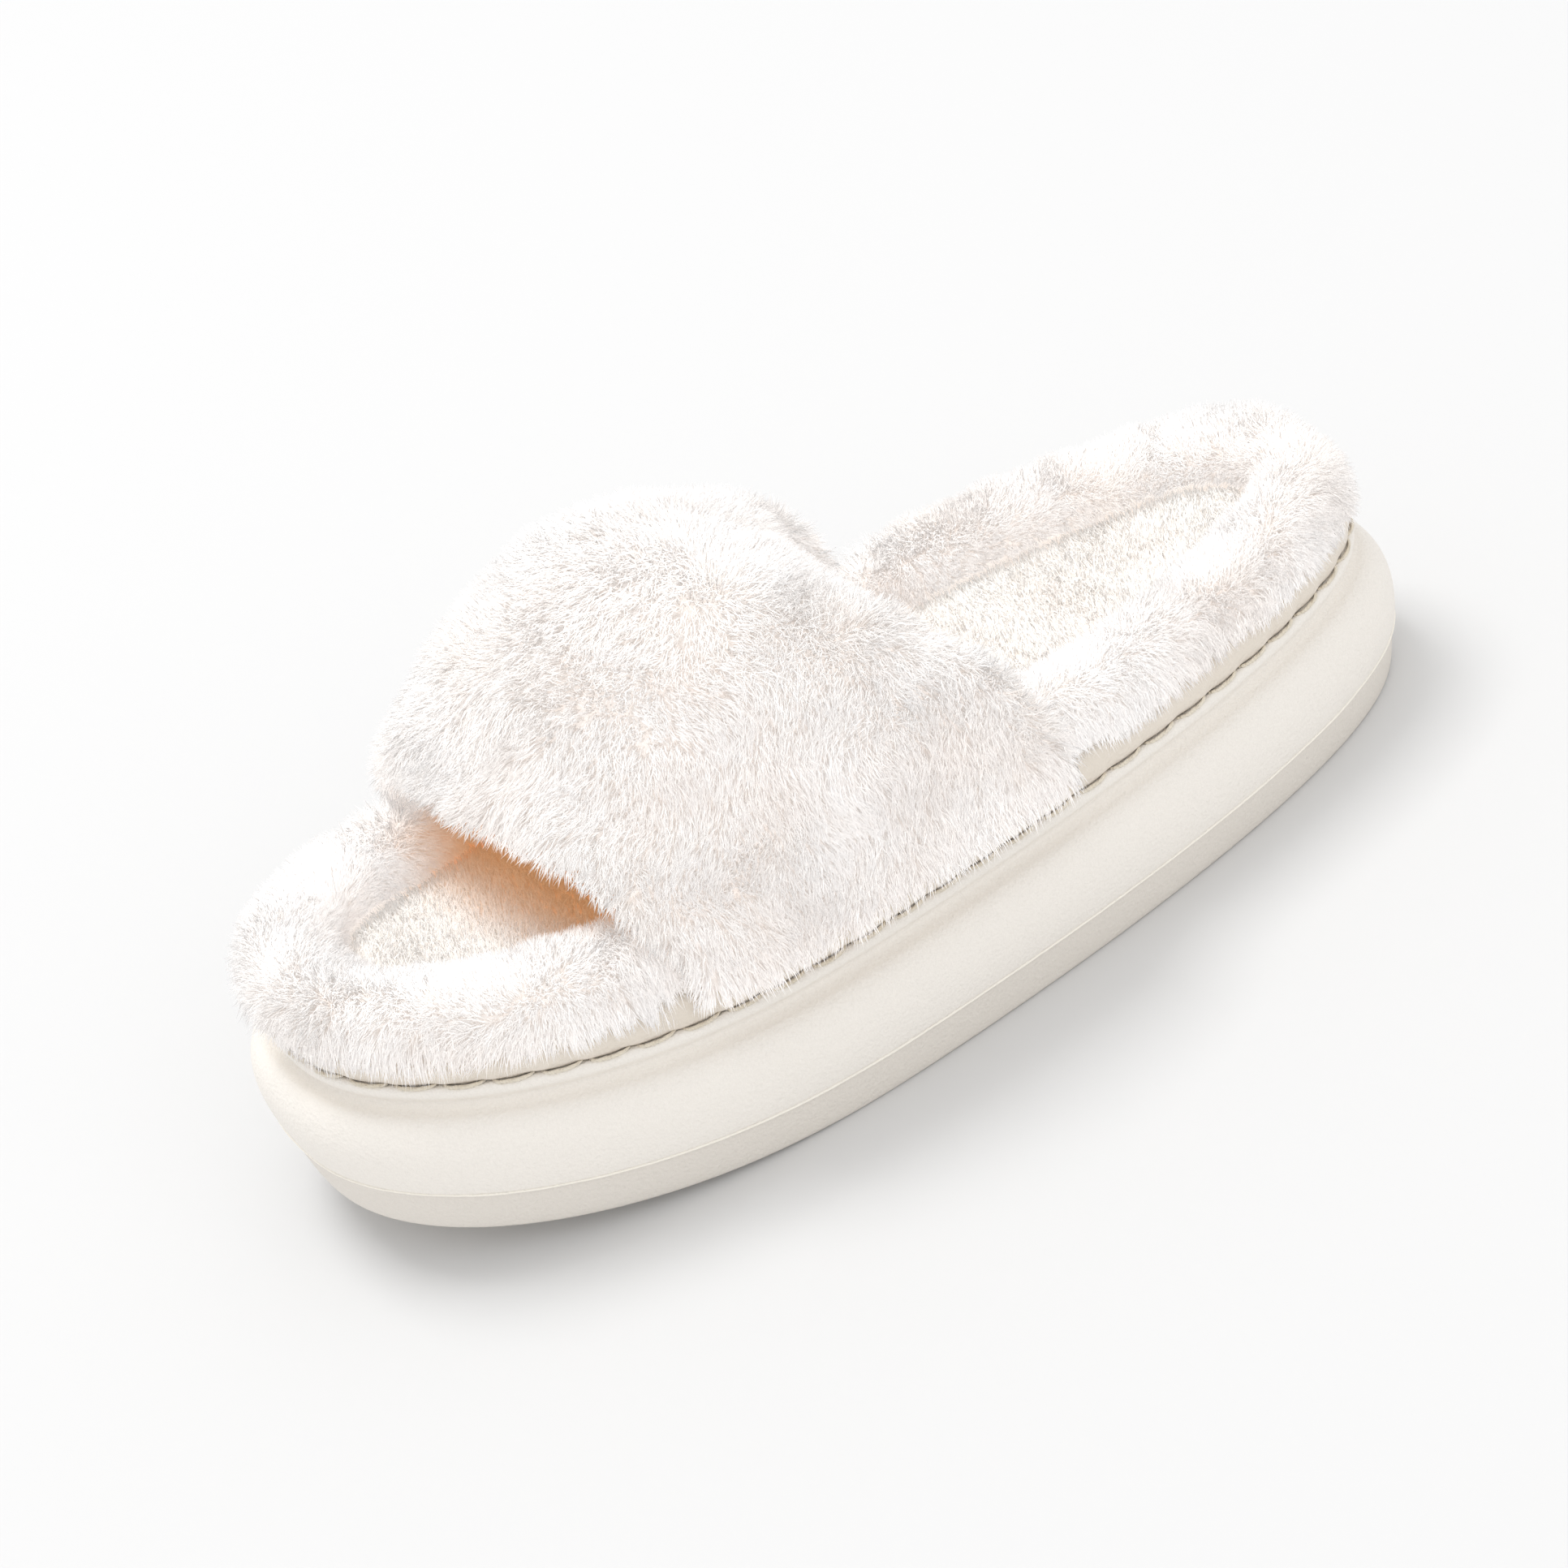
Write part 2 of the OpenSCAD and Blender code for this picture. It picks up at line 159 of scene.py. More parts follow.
@dataclass(frozen=True)
class Last:
    """The outline and the toe lift that every layer of the slipper follows."""

    length: float
    ball_width: float = 110 * MM
    heel_width: float = 95 * MM
    squareness: float = 2.55
    toe_swing: float = 4 * MM
    toe_spring: float = 14 * MM
    lift_length: float = 104 * MM

    def centre_x(self, y: np.ndarray) -> np.ndarray:
        """Gives how far the middle line leans sideways at y."""
        return -self.toe_swing * clamp01((self.length * 0.1 - y) / (self.length * 0.6)) ** 2

    def half_width(self, y: np.ndarray) -> np.ndarray:
        """Gives half of the width at y, before the ends close in."""
        return mix(self.ball_width, self.heel_width, smooth(y / self.length / 0.7 + 0.4)) / 2

    def offset(self) -> float:
        """Gives the shift that centres the outline's box on X = 0."""
        x = self._raw(np.radians(np.arange(0.0, 360.0, 0.5)), 0.0)[0]
        return float(x.min() + x.max()) / 2

    def _raw(self, angle: np.ndarray, inset: np.ndarray) -> tuple[np.ndarray, np.ndarray]:
        """Gives X and Y on the outline before it is centred.

        Args:
            angle: Angle round the outline in radians, 0 at the toe tip.
            inset: Distance in from the widest line.

        Returns:
            X and Y at each angle.
        """
        power = 2 / self.squareness
        y = (-self.length / 2 + inset) * np.sign(np.cos(angle)) * np.abs(np.cos(angle)) ** power
        reach = (self.half_width(y) - inset) * np.abs(np.sin(angle)) ** power
        return self.centre_x(y) + np.sign(np.sin(angle)) * reach, y

    def lift(self, y: np.ndarray) -> np.ndarray:
        """Gives how far the toe end is lifted at y."""
        flat_front = -self.length / 2 + self.lift_length
        return self.toe_spring * clamp01((flat_front - y) / self.lift_length) ** 2

    def point(self, angle: np.ndarray, inset: np.ndarray, height: np.ndarray) -> np.ndarray:
        """Gives points at an inset from the widest line.

        Args:
            angle: Angle round the outline in radians, 0 at the toe tip.
            inset: Distance in from the widest line.
            height: Height where the sole is flat.

        Returns:
            Points with X, Y, Z on the last axis.
        """
        x, y = self._raw(angle, inset)
        z = height + self.lift(y)
        return np.stack(np.broadcast_arrays(x - self.offset(), y, z), axis=-1)

    def side_x(self, y: np.ndarray, inset: np.ndarray, side: float) -> np.ndarray:
        """Gives X on one side of the outline.

        Args:
            y: Place along the sole.
            inset: Distance in from the widest line.
            side: LATERAL or MEDIAL.

        Returns:
            X at each place.
        """
        share = np.minimum(1.0, np.abs(y) / (self.length / 2 - inset)) ** self.squareness
        reach = (self.half_width(y) - inset) * (1 - share) ** (1 / self.squareness)
        return self.centre_x(y) + side * reach - self.offset()

    def walk(self, samples: int, inset: float, height: float) -> tuple[np.ndarray, np.ndarray]:
        """Measures the way round the outline.

        Args:
            samples: At how many angles.
            inset: Distance in from the widest line.
            height: Height where the sole is flat.

        Returns:
            The angles, and the distance run at each.
        """
        fine = np.linspace(0, 2 * math.pi, samples)
        path = self.point(fine, np.float64(inset), np.float64(height))
        return fine, np.concatenate([[0], np.cumsum(np.linalg.norm(np.diff(path, axis=0), axis=1))])

    def angles(self, steps: int) -> np.ndarray:
        """Gives angles round the outline at even steps along its length.

        Args:
            steps: How many angles.

        Returns:
            Angles in radians, the first at the toe tip.
        """
        fine, runs = self.walk(1441, 0.0, 0.0)
        return np.interp(np.arange(steps) / steps * runs[-1], runs, fine)


@dataclass(frozen=True)
class Stack:
    """Heights and insets of the layers, shared by the pieces that meet each other."""

    band_height: float = 11 * MM
    bulge_height: float = 18 * MM
    bulge_depth: float = 5.5 * MM
    bead_radius: float = 1.8 * MM
    lip_height: float = 2.6 * MM
    lip_thickness: float = 2 * MM
    cup_floor: float = 22 * MM
    seam_gap: float = 1.3 * MM
    rand_thickness: float = 1.2 * MM
    rand_show: float = 6.6 * MM
    footbed_top: float = 40 * MM
    insole_top: float = 45 * MM
    insole_seam: float = 43.6 * MM
    rim_top: float = 57.2 * MM
    rim_inset: float = 4.8 * MM
    rim_width: float = 19.6 * MM
    strap_inset: float = 2.5 * MM
    strap_front_y: float = -59 * MM
    strap_rear_y: float = 29 * MM
    strap_lead: float = 17 * MM

    @property
    def bulge_top(self) -> float:
        """Height of the top of the bulge."""
        return self.band_height + self.bulge_height

    @property
    def bead_top(self) -> float:
        """Height of the top of the bead."""
        return self.bulge_top + 2 * self.bead_radius

    @property
    def lip_top(self) -> float:
        """Height of the top of the lip."""
        return self.bead_top + self.lip_height

    @property
    def lip_outside(self) -> float:
        """Inset of the outside of the lip."""
        return self.bulge_depth + 0.6 * MM

    @property
    def lip_inside(self) -> float:
        """Inset of the inside of the lip."""
        return self.lip_outside + self.lip_thickness

    @property
    def rand_fold(self) -> float:
        """Height at which the rand folds over the seam."""
        return self.lip_top + self.seam_gap

    @property
    def upper_base(self) -> float:
        """Height at which the fur starts, on top of the rand."""
        return self.rand_fold + self.rand_show + 0.1 * MM

    @property
    def rim_inside(self) -> float:
        """Inset of the rim's inner face."""
        return self.rim_inset + self.rim_width

    def lead_on(self, side: np.ndarray) -> np.ndarray:
        """Gives how far forward the strap's front edge starts; side is below 0 on the inner side."""
        return np.where(side < 0, self.strap_lead, 0.0)

    def shade(self, places: np.ndarray) -> np.ndarray:
        """Gives how deep a place lies in the toe opening under the strap, 0 to 1: the mask of the painted tan
        shade there.

        Args:
            places: Points inside the slipper.

        Returns:
            The share of painted shade at each point.
        """
        side = clamp01(0.5 - places[..., 0] / (90 * MM))
        front = self.strap_front_y - self.strap_lead * side - 19 * MM
        return smooth((places[..., 1] - front) / (24 * MM)) * smooth((-8 * MM - places[..., 1]) / (25 * MM))


class NodeTree:
    """Adds and joins shader nodes with little writing."""

    def __init__(self, tree: bpy.types.NodeTree) -> None:
        """Keeps the tree and empties it."""
        self.tree = tree
        tree.nodes.clear()

    def add(self, kind: str, settings: dict | None = None, **inputs: object) -> bpy.types.Node:
        """Adds one node.

        Args:
            kind: The node's type name without its ShaderNode prefix, or a full name.
            settings: Properties of the node itself.
            **inputs: Input sockets by name, with _ for a space; a socket given is linked, a value is set.

        Returns:
            The new node.
        """
        node = self.tree.nodes.new(kind if kind.startswith("Node") else "ShaderNode" + kind)
        for name, value in (settings or {}).items():
            setattr(node, name, value)
        for name, value in inputs.items():
            socket = node.inputs[int(name[1:])] if name[1:].isdigit() else node.inputs[name.replace("_", " ")]
            if isinstance(value, bpy.types.NodeSocket):
                self.tree.links.new(value, socket)
            else:
                socket.default_value = value
        return node

    def maths(self, operation: str, first: object, second: object = 0.0) -> bpy.types.NodeSocket:
        """Adds a Math node and gives its output."""
        return self.add("Math", {"operation": operation}, i0=first, i1=second).outputs[0]

    def blend(self, share: object, first: object, second: object) -> bpy.types.NodeSocket:
        """Mixes two colours by a share.

        Args:
            share: The share of the second colour, a socket or a number.
            first: The colour at 0.
            second: The colour at 1.

        Returns:
            The mixed colour.
        """
        return self.add("Mix", {"data_type": "RGBA"}, i0=share, i6=first, i7=second).outputs[2]

    def ramp(self, value: object, low: object, high: object) -> bpy.types.NodeSocket:
        """Stretches a value so that low becomes 0 and high becomes 1."""
        return self.add("MapRange", {"clamp": True}, Value=value, From_Min=low, From_Max=high).outputs[0]

    def read(self, name: str) -> bpy.types.NodeSocket:
        """Reads a number that is stored on the mesh."""
        return self.add("Attribute", {"attribute_name": name}).outputs["Fac"]

    def place(self) -> bpy.types.NodeSocket:
        """Gives the place on the piece in its own frame."""
        return self.add("TexCoord").outputs["Object"]


class Effect(Enum):
    """Node groups that several finishes share."""

    DRIFT = "tone_drift"
    GRAIN = "fine_grain"

    def group(self) -> bpy.types.NodeTree:
        """Gives the group's tree, built once.

        Returns:
            The shader node group.
        """
        known = bpy.data.node_groups.get(self.value)
        if known is not None:
            return known
        tree = bpy.data.node_groups.new(self.value, "ShaderNodeTree")
        for name, way in (("Size", "INPUT"), ("Softness", "INPUT"), ("Mask", "OUTPUT")):
            tree.interface.new_socket(name, in_out=way, socket_type="NodeSocketFloat")
        kit = NodeTree(tree)
        given = kit.add("NodeGroupInput").outputs
        scale = kit.maths("DIVIDE", 1.0, given["Size"])
        if self is Effect.DRIFT:
            noise = kit.add("TexNoise", Vector=kit.place(), Scale=scale, Detail=3.0)
            low = kit.maths("SUBTRACT", 0.5, given["Softness"])
            high = kit.maths("ADD", 0.5, given["Softness"])
            result = kit.ramp(noise.outputs[0], low, high)
        else:
            noise = kit.add("TexNoise", Vector=kit.place(), Scale=scale, Detail=2.0, Roughness=0.6)
            cells = kit.add("TexVoronoi", Vector=kit.place(), Scale=kit.maths("MULTIPLY", scale, 0.6))
            pits = kit.maths("MULTIPLY", cells.outputs["Distance"], given["Softness"])
            result = kit.maths("ADD", noise.outputs[0], pits)
        end = kit.add("NodeGroupOutput")
        tree.links.new(result, end.inputs["Mask"])
        return tree

    def mask(self, kit: NodeTree, size: float, softness: float) -> bpy.types.NodeSocket:
        """Places the group in a material.

        Args:
            kit: The material's nodes.
            size: Size of the pattern in metres.
            softness: Half the width of the step, or the strength of the pits.

        Returns:
            The group's mask.
        """
        return kit.add("Group", {"node_tree": self.group()}, Size=size, Softness=softness).outputs["Mask"]


@dataclass(frozen=True)
class Finish:
    """A material: its colours, roughness and relief. Subclasses add their own pattern."""

    name: str
    colour: tuple[float, float, float, float]
    second: tuple[float, float, float, float]
    roughness: float
    relief: float
    grain: float
    sheen: float = 0.0
    # Emission from the base colour: painted light that brightens fur as if light scattered between its
    # fibres.
    painted_glow: float = 0.0

    def colour_of(self, kit: NodeTree) -> bpy.types.NodeSocket:
        """Gives the colour, drifting between the two tones."""
        return kit.blend(Effect.DRIFT.mask(kit, 30 * MM, 0.25), self.colour, self.second)

    def height_of(self, kit: NodeTree) -> bpy.types.NodeSocket:
        """Gives the height of the surface relief."""
        return Effect.GRAIN.mask(kit, self.grain, 0.5)

    def material(self) -> bpy.types.Material:
        """Builds the material once.

        Returns:
            The material.
        """
        known = bpy.data.materials.get(self.name)
        if known is not None:
            return known
        made = bpy.data.materials.new(self.name)
        made.use_nodes = True
        kit = NodeTree(made.node_tree)
        height = self.height_of(kit)
        rough = kit.add("MapRange", Value=height, From_Min=0.2, From_Max=0.9,
                        To_Min=self.roughness - 0.06, To_Max=self.roughness + 0.06).outputs[0]
        bump = kit.add("Bump", Strength=self.relief, Distance=self.grain, Height=height)
        colour = self.colour_of(kit)
        shader = kit.add("BsdfPrincipled", Base_Color=colour, Roughness=rough, Normal=bump.outputs[0])
        shader.inputs["Sheen Weight"].default_value = self.sheen
        shader.inputs["Sheen Roughness"].default_value = 0.6
        shader.inputs["Specular IOR Level"].default_value = 0.35
        # Painted light: the piece glows with its own colour.
        if self.painted_glow > 0:
            made.node_tree.links.new(colour, shader.inputs["Emission Color"])
        shader.inputs["Emission Strength"].default_value = self.painted_glow
        end = kit.add("OutputMaterial")
        made.node_tree.links.new(shader.outputs[0], end.inputs[0])
        return made


@dataclass(frozen=True)
class MouldedFoam(Finish):
    """Closed-cell foam with a fine pitted skin, a little greyer below the moulding line as painted shade on
    the inward-sloping band.
    """

    band_height: float = 11 * MM
    # Paler colour of the flash: a painted highlight on the raised ridge.
    flash: tuple[float, float, float, float] = linear(253, 248, 238)

    def colour_of(self, kit: NodeTree) -> bpy.types.NodeSocket:
        """Gives the foam's colour: greyer on the lower band as painted shade, pale on the flash as a painted
        highlight, and faintly mottled.

        Args:
            kit: The material's nodes.

        Returns:
            The colour.
        """
        level = kit.read("level")
        upper = kit.ramp(level, self.band_height - 0.5 * MM, self.band_height - 0.2 * MM)
        above = kit.ramp(level, self.band_height + 0.6 * MM, self.band_height + 0.25 * MM)
        line = kit.maths("MULTIPLY", upper, above)
        # Painted shade makes the lower band greyer, and a painted highlight makes the flash paler.
        base = kit.blend(line, kit.blend(upper, self.second, self.colour), self.flash)
        speck = kit.ramp(Effect.GRAIN.mask(kit, 0.35 * MM, 0.4), 0.45, 1.05)
        return kit.blend(kit.maths("MULTIPLY", speck, 0.10), base, linear(196, 186, 172))


@dataclass(frozen=True)
class SmoothSkin(Finish):
    """Smooth coated strip with a shallow pebble grain."""

    def height_of(self, kit: NodeTree) -> bpy.types.NodeSocket:
        """Gives a pebble grain with fine wrinkles.

        Args:
            kit: The material's nodes.

        Returns:
            The height.
        """
        cells = kit.add("TexVoronoi", {"feature": "SMOOTH_F1"}, Vector=kit.place(), Scale=1 / self.grain)
        fine = Effect.GRAIN.mask(kit, self.grain * 0.4, 0.2)
        return kit.maths("ADD", cells.outputs["Distance"], kit.maths("MULTIPLY", fine, 0.4))


@dataclass(frozen=True)
class TwistedThread(Finish):
    """Thread with a slanting ply twist."""

    def height_of(self, kit: NodeTree) -> bpy.types.NodeSocket:
        """Gives diagonal ridges across the thread.

        Args:
            kit: The material's nodes.

        Returns:
            The height.
        """
        wave = kit.add("TexWave", {"wave_type": "BANDS", "bands_direction": "DIAGONAL"},
                       Vector=kit.place(), Scale=420.0, Distortion=0.4)
        return wave.outputs["Fac"]


@dataclass(frozen=True)
class Weave(Finish):
    """Knitted or pressed fabric."""

    def height_of(self, kit: NodeTree) -> bpy.types.NodeSocket:
        """Gives two crossed sets of ribs.

        Args:
            kit: The material's nodes.

        Returns:
            The height.
        """
        ribs = [kit.add("TexWave", {"wave_type": "BANDS", "bands_direction": way}, Vector=kit.place(),
                        Scale=0.3 / self.grain, Distortion=1.0).outputs["Fac"] for way in ("X", "Z")]
        return kit.maths("MULTIPLY", ribs[0], ribs[1])


@dataclass(frozen=True)
class Fleece(Finish):
    """Fur: warmer and darker at the root as painted shade deep in the pile, paler at the tip, with a slow
    drift of tone and odd fibres, and painted tan shade in the toe opening.
    """

    blush: tuple[float, float, float, float] = linear(252, 241, 233)
    # Painted shade: the tan colour that the pile takes in the toe opening under the strap.
    shaded: tuple[float, float, float, float] = linear(242, 184, 126)

    def colour_of(self, kit: NodeTree) -> bpy.types.NodeSocket:
        """Gives the fibre's colour from its depth, its own tone and its place, with painted tan shade in the
        toe opening under the strap.

        Args:
            kit: The material's nodes.

        Returns:
            The colour.
        """
        depth = kit.read("fibre")
        tone = kit.read("tone")
        # Painted shade deep in the pile: the roots take the darker, warmer second colour.
        along = kit.blend(kit.ramp(depth, 0.0, 0.8), self.second, self.colour)
        drift = kit.maths("MULTIPLY", Effect.DRIFT.mask(kit, 26 * MM, 0.16), 0.4)
        blushed = kit.blend(drift, along, self.blush)
        toned = kit.blend(kit.maths("MULTIPLY", tone, 0.22), blushed, self.second)
        # Painted shade: the pile turns tan where it lies in the toe opening under the strap.
        painted_shade = kit.read("painted_shade")
        return kit.blend(painted_shade, toned, self.shaded)


class Finishes:
    """The finishes of the slipper's pieces."""

    # The sole's second colour is the painted shade of its lower band.
    sole = MouldedFoam("moulded_sole_foam", linear(245, 240, 233), linear(231, 225, 217),
                       roughness=0.55, relief=0.45, grain=0.6 * MM)
    rand = SmoothSkin("smooth_rand", linear(233, 224, 212), linear(227, 217, 203),
                      roughness=0.5, relief=0.3, grain=0.9 * MM, sheen=0.1)
    thick_thread = TwistedThread("twisted_thread", linear(238, 229, 212), linear(226, 214, 192),
                                 roughness=0.6, relief=0.6, grain=0.4 * MM, sheen=0.3)
    fine_thread = TwistedThread("sewing_thread", linear(245, 239, 232), linear(238, 230, 221),
                                roughness=0.6, relief=0.5, grain=0.3 * MM, sheen=0.3)
    board = Weave("pressed_fibre_board", linear(196, 176, 144), linear(180, 158, 124),
                  roughness=0.85, relief=0.4, grain=0.8 * MM)
    foam = Finish("open_cell_foam", linear(248, 244, 234), linear(242, 236, 224),
                  roughness=0.9, relief=0.8, grain=0.7 * MM)
    backing = Weave("knitted_backing", linear(228, 220, 208), linear(218, 208, 194),
                    roughness=0.9, relief=0.5, grain=0.7 * MM, sheen=0.2)
    fur = Fleece("long_white_fur", linear(253, 251, 250), linear(250, 240, 232),
                 roughness=0.8, relief=0.15, grain=0.5 * MM, sheen=0.2, painted_glow=0.31)
    plush = Fleece("short_cream_plush", linear(254, 252, 249), linear(251, 243, 233),
                   roughness=0.8, relief=0.15, grain=0.5 * MM, sheen=0.2, painted_glow=0.3)
    # The lining's tan colours are painted shade: the fur in the toe opening under the strap lies in shade.
    lining = Fleece("lining_with_painted_shade", linear(246, 214, 180), linear(228, 178, 132),
                    roughness=0.8, relief=0.3, grain=0.5 * MM, sheen=0.2, painted_glow=0.1,
                    blush=linear(240, 202, 164))


def add_mesh(name: str, points: np.ndarray, faces: list[np.ndarray], finish: Finish,
             smooth_shaded: bool = True) -> bpy.types.Object:
    """Makes a mesh object from arrays.

    Args:
        name: Name of the piece.
        points: Corner points, one row each.
        faces: Arrays of corner numbers, one array for each face size.
        finish: The piece's finish.
        smooth_shaded: Whether its faces are shaded smooth.

    Returns:
        The object, linked to the scene.
    """
    mesh = bpy.data.meshes.new(name)
    flat = points.reshape(-1, 3)
    corners = np.concatenate([f.ravel() for f in faces]).astype(np.int32)
    sizes = np.concatenate([np.full(len(f), f.shape[1]) for f in faces])
    starts = np.concatenate([[0], np.cumsum(sizes)[:-1]]).astype(np.int32)
    mesh.vertices.add(len(flat))
    mesh.vertices.foreach_set("co", flat.astype(np.float32).ravel())
    mesh.loops.add(len(corners))
    mesh.loops.foreach_set("vertex_index", corners)
    mesh.polygons.add(len(sizes))
    mesh.polygons.foreach_set("loop_start", starts)
    mesh.update(calc_edges=True)
    mesh.validate()
    mesh.polygons.foreach_set("use_smooth", np.full(len(mesh.polygons), smooth_shaded))
    mesh.materials.append(finish.material())
    made = bpy.data.objects.new(name, mesh)
    bpy.context.scene.collection.objects.link(made)
    return made


def put_value(piece: bpy.types.Object, name: str, values: np.ndarray) -> None:
    """Stores one number per point of a piece.

    Args:
        piece: The mesh object.
        name: Name of the attribute that the finish reads.
        values: One number per point.
    """
    layer = piece.data.attributes.new(name, "FLOAT", "POINT")
    layer.data.foreach_set("value", values.astype(np.float32))


def put_pelt(piece: bpy.types.Object, depth: float, painted_shade: np.ndarray | float) -> None:
    """Gives a pelt the values that its fur finish reads.

    Args:
        piece: The pelt.
        depth: Depth along the fibres that its colour is taken from.
        painted_shade: How much painted tan shade it takes, one number or one for each point.
    """
    count = len(piece.data.vertices)
    put_value(piece, "fibre", np.full(count, depth))
    put_value(piece, "tone", np.full(count, PELT_TONE))
    put_value(piece, "painted_shade", np.broadcast_to(painted_shade, (count,)))


def hand_over(piece: bpy.types.Object, slot: Slot, *nodes: str) -> bpy.types.Object:
    """Fastens a piece to the slipper and says what it stands for.

    Args:
        piece: The finished piece.
        slot: The record's material slot that the piece stands for; not used.
        *nodes: The CAD nodes that it replaces.

    Returns:
        The piece.
    """
    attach(piece, Body.SLIPPER.value)
    if nodes:
        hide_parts(*nodes)
    LOG.info("%s: %d faces, stands for %s", piece.name, len(piece.data.polygons), ", ".join(nodes) or "pile")
    return piece


def ring_faces(rows: int, columns: int, closed_rows: bool, closed_columns: bool = True) -> np.ndarray:
    """Gives the quads of a grid whose points run column by column in each row.

    Args:
        rows: Number of rows.
        columns: Number of columns.
        closed_rows: Whether the last row joins the first.
        closed_columns: Whether the last column joins the first.

    Returns:
        Corner numbers, four to a row.
    """
    r, c = np.meshgrid(np.arange(rows if closed_rows else rows - 1),
                       np.arange(columns if closed_columns else columns - 1), indexing="ij")
    up, nxt = (r + 1) % rows, (c + 1) % columns
    quads = np.stack([r * columns + c, r * columns + nxt, up * columns + nxt, up * columns + c], axis=-1)
    return quads.reshape(-1, 4)


def cap_strip(start: int, columns: int) -> tuple[np.ndarray, np.ndarray]:
    """Gives the faces that close an oval ring across its short way.

    Args:
        start: Number of the ring's first point.
        columns: Points in the ring, an even number.

    Returns:
        The quads and the two end triangles.
    """
    i = np.arange(1, columns // 2 - 1)
    quads = np.stack([start + i, start + columns - i, start + columns - i - 1, start + i + 1], axis=-1)
    last = start + columns // 2
    ends = np.array([[start, start + columns - 1, start + 1], [last - 1, last + 1, last]])
    return quads, ends


def oval_faces(rows: int, columns: int) -> list[np.ndarray]:
    """Gives the faces of a closed solid made of oval rings, one row for each ring.

    Args:
        rows: Number of rings, from the bottom over the outside to the top.
        columns: Points in each ring.

    Returns:
        The quads and the triangles.
    """
    low_quads, low_ends = cap_strip(0, columns)
    top_quads, top_ends = cap_strip((rows - 1) * columns, columns)
    body = ring_faces(rows, columns, closed_rows=False)
    quads = np.concatenate([body, low_quads, top_quads[:, ::-1]])
    return [quads, np.concatenate([low_ends, top_ends[:, ::-1]])]


@dataclass
class Skin:
    """A grid of points on which pile grows, with the way out at each."""

    points: np.ndarray
    outward: np.ndarray

    @classmethod
    def over(cls, points: np.ndarray, closed: bool, flip: bool = False) -> "Skin":
        """Works out the way out from the grid itself.

        Args:
            points: Rows and columns of points.
            closed: Whether the columns join up.
            flip: Whether the way out is turned round.

        Returns:
            The skin.
        """
        if closed:
            points = np.concatenate([points, points[:, :1]], axis=1)
        along = np.gradient(points, axis=0)
        across = np.gradient(points, axis=1)
        if closed:
            ends = (points[:, 1] - points[:, -2]) / 2
            across[:, 0] = ends
            across[:, -1] = ends
        way = unit(np.cross(across, along))
        return cls(points, -way if flip else way)

    def scatter(self, count: int, rng: np.random.Generator, weight: np.ndarray | None = None
                ) -> tuple[np.ndarray, np.ndarray, np.ndarray]:
        """Picks roots evenly over the skin.

        Args:
            count: How many roots.
            rng: Seeded source of randomness.
            weight: Extra density for each grid point, or None.

        Returns:
            The roots, the way out at each, and their row share from 0 to 1.
        """
        p = self.points
        area = np.linalg.norm(np.cross(p[1:, 1:] - p[:-1, :-1], p[1:, :-1] - p[:-1, 1:]), axis=-1)
        if weight is not None:
            area = area * (weight[1:, 1:] + weight[:-1, :-1]) / 2
        chance = (area / area.sum()).ravel()
        cell = rng.choice(len(chance), size=count, p=chance)
        r, c = np.divmod(cell, area.shape[1])
        u, v = rng.random((2, count, 1))

        def between(grid: np.ndarray) -> np.ndarray:
            """Blends the four corners of each cell.

            Args:
                grid: Values at the grid points.

            Returns:
                The value at each root.
            """
            low = grid[r, c] * (1 - u) + grid[r, c + 1] * u
            high = grid[r + 1, c] * (1 - u) + grid[r + 1, c + 1] * u
            return low * (1 - v) + high * v
        return between(p), unit(between(self.outward)), (r + v[:, 0]) / area.shape[0]


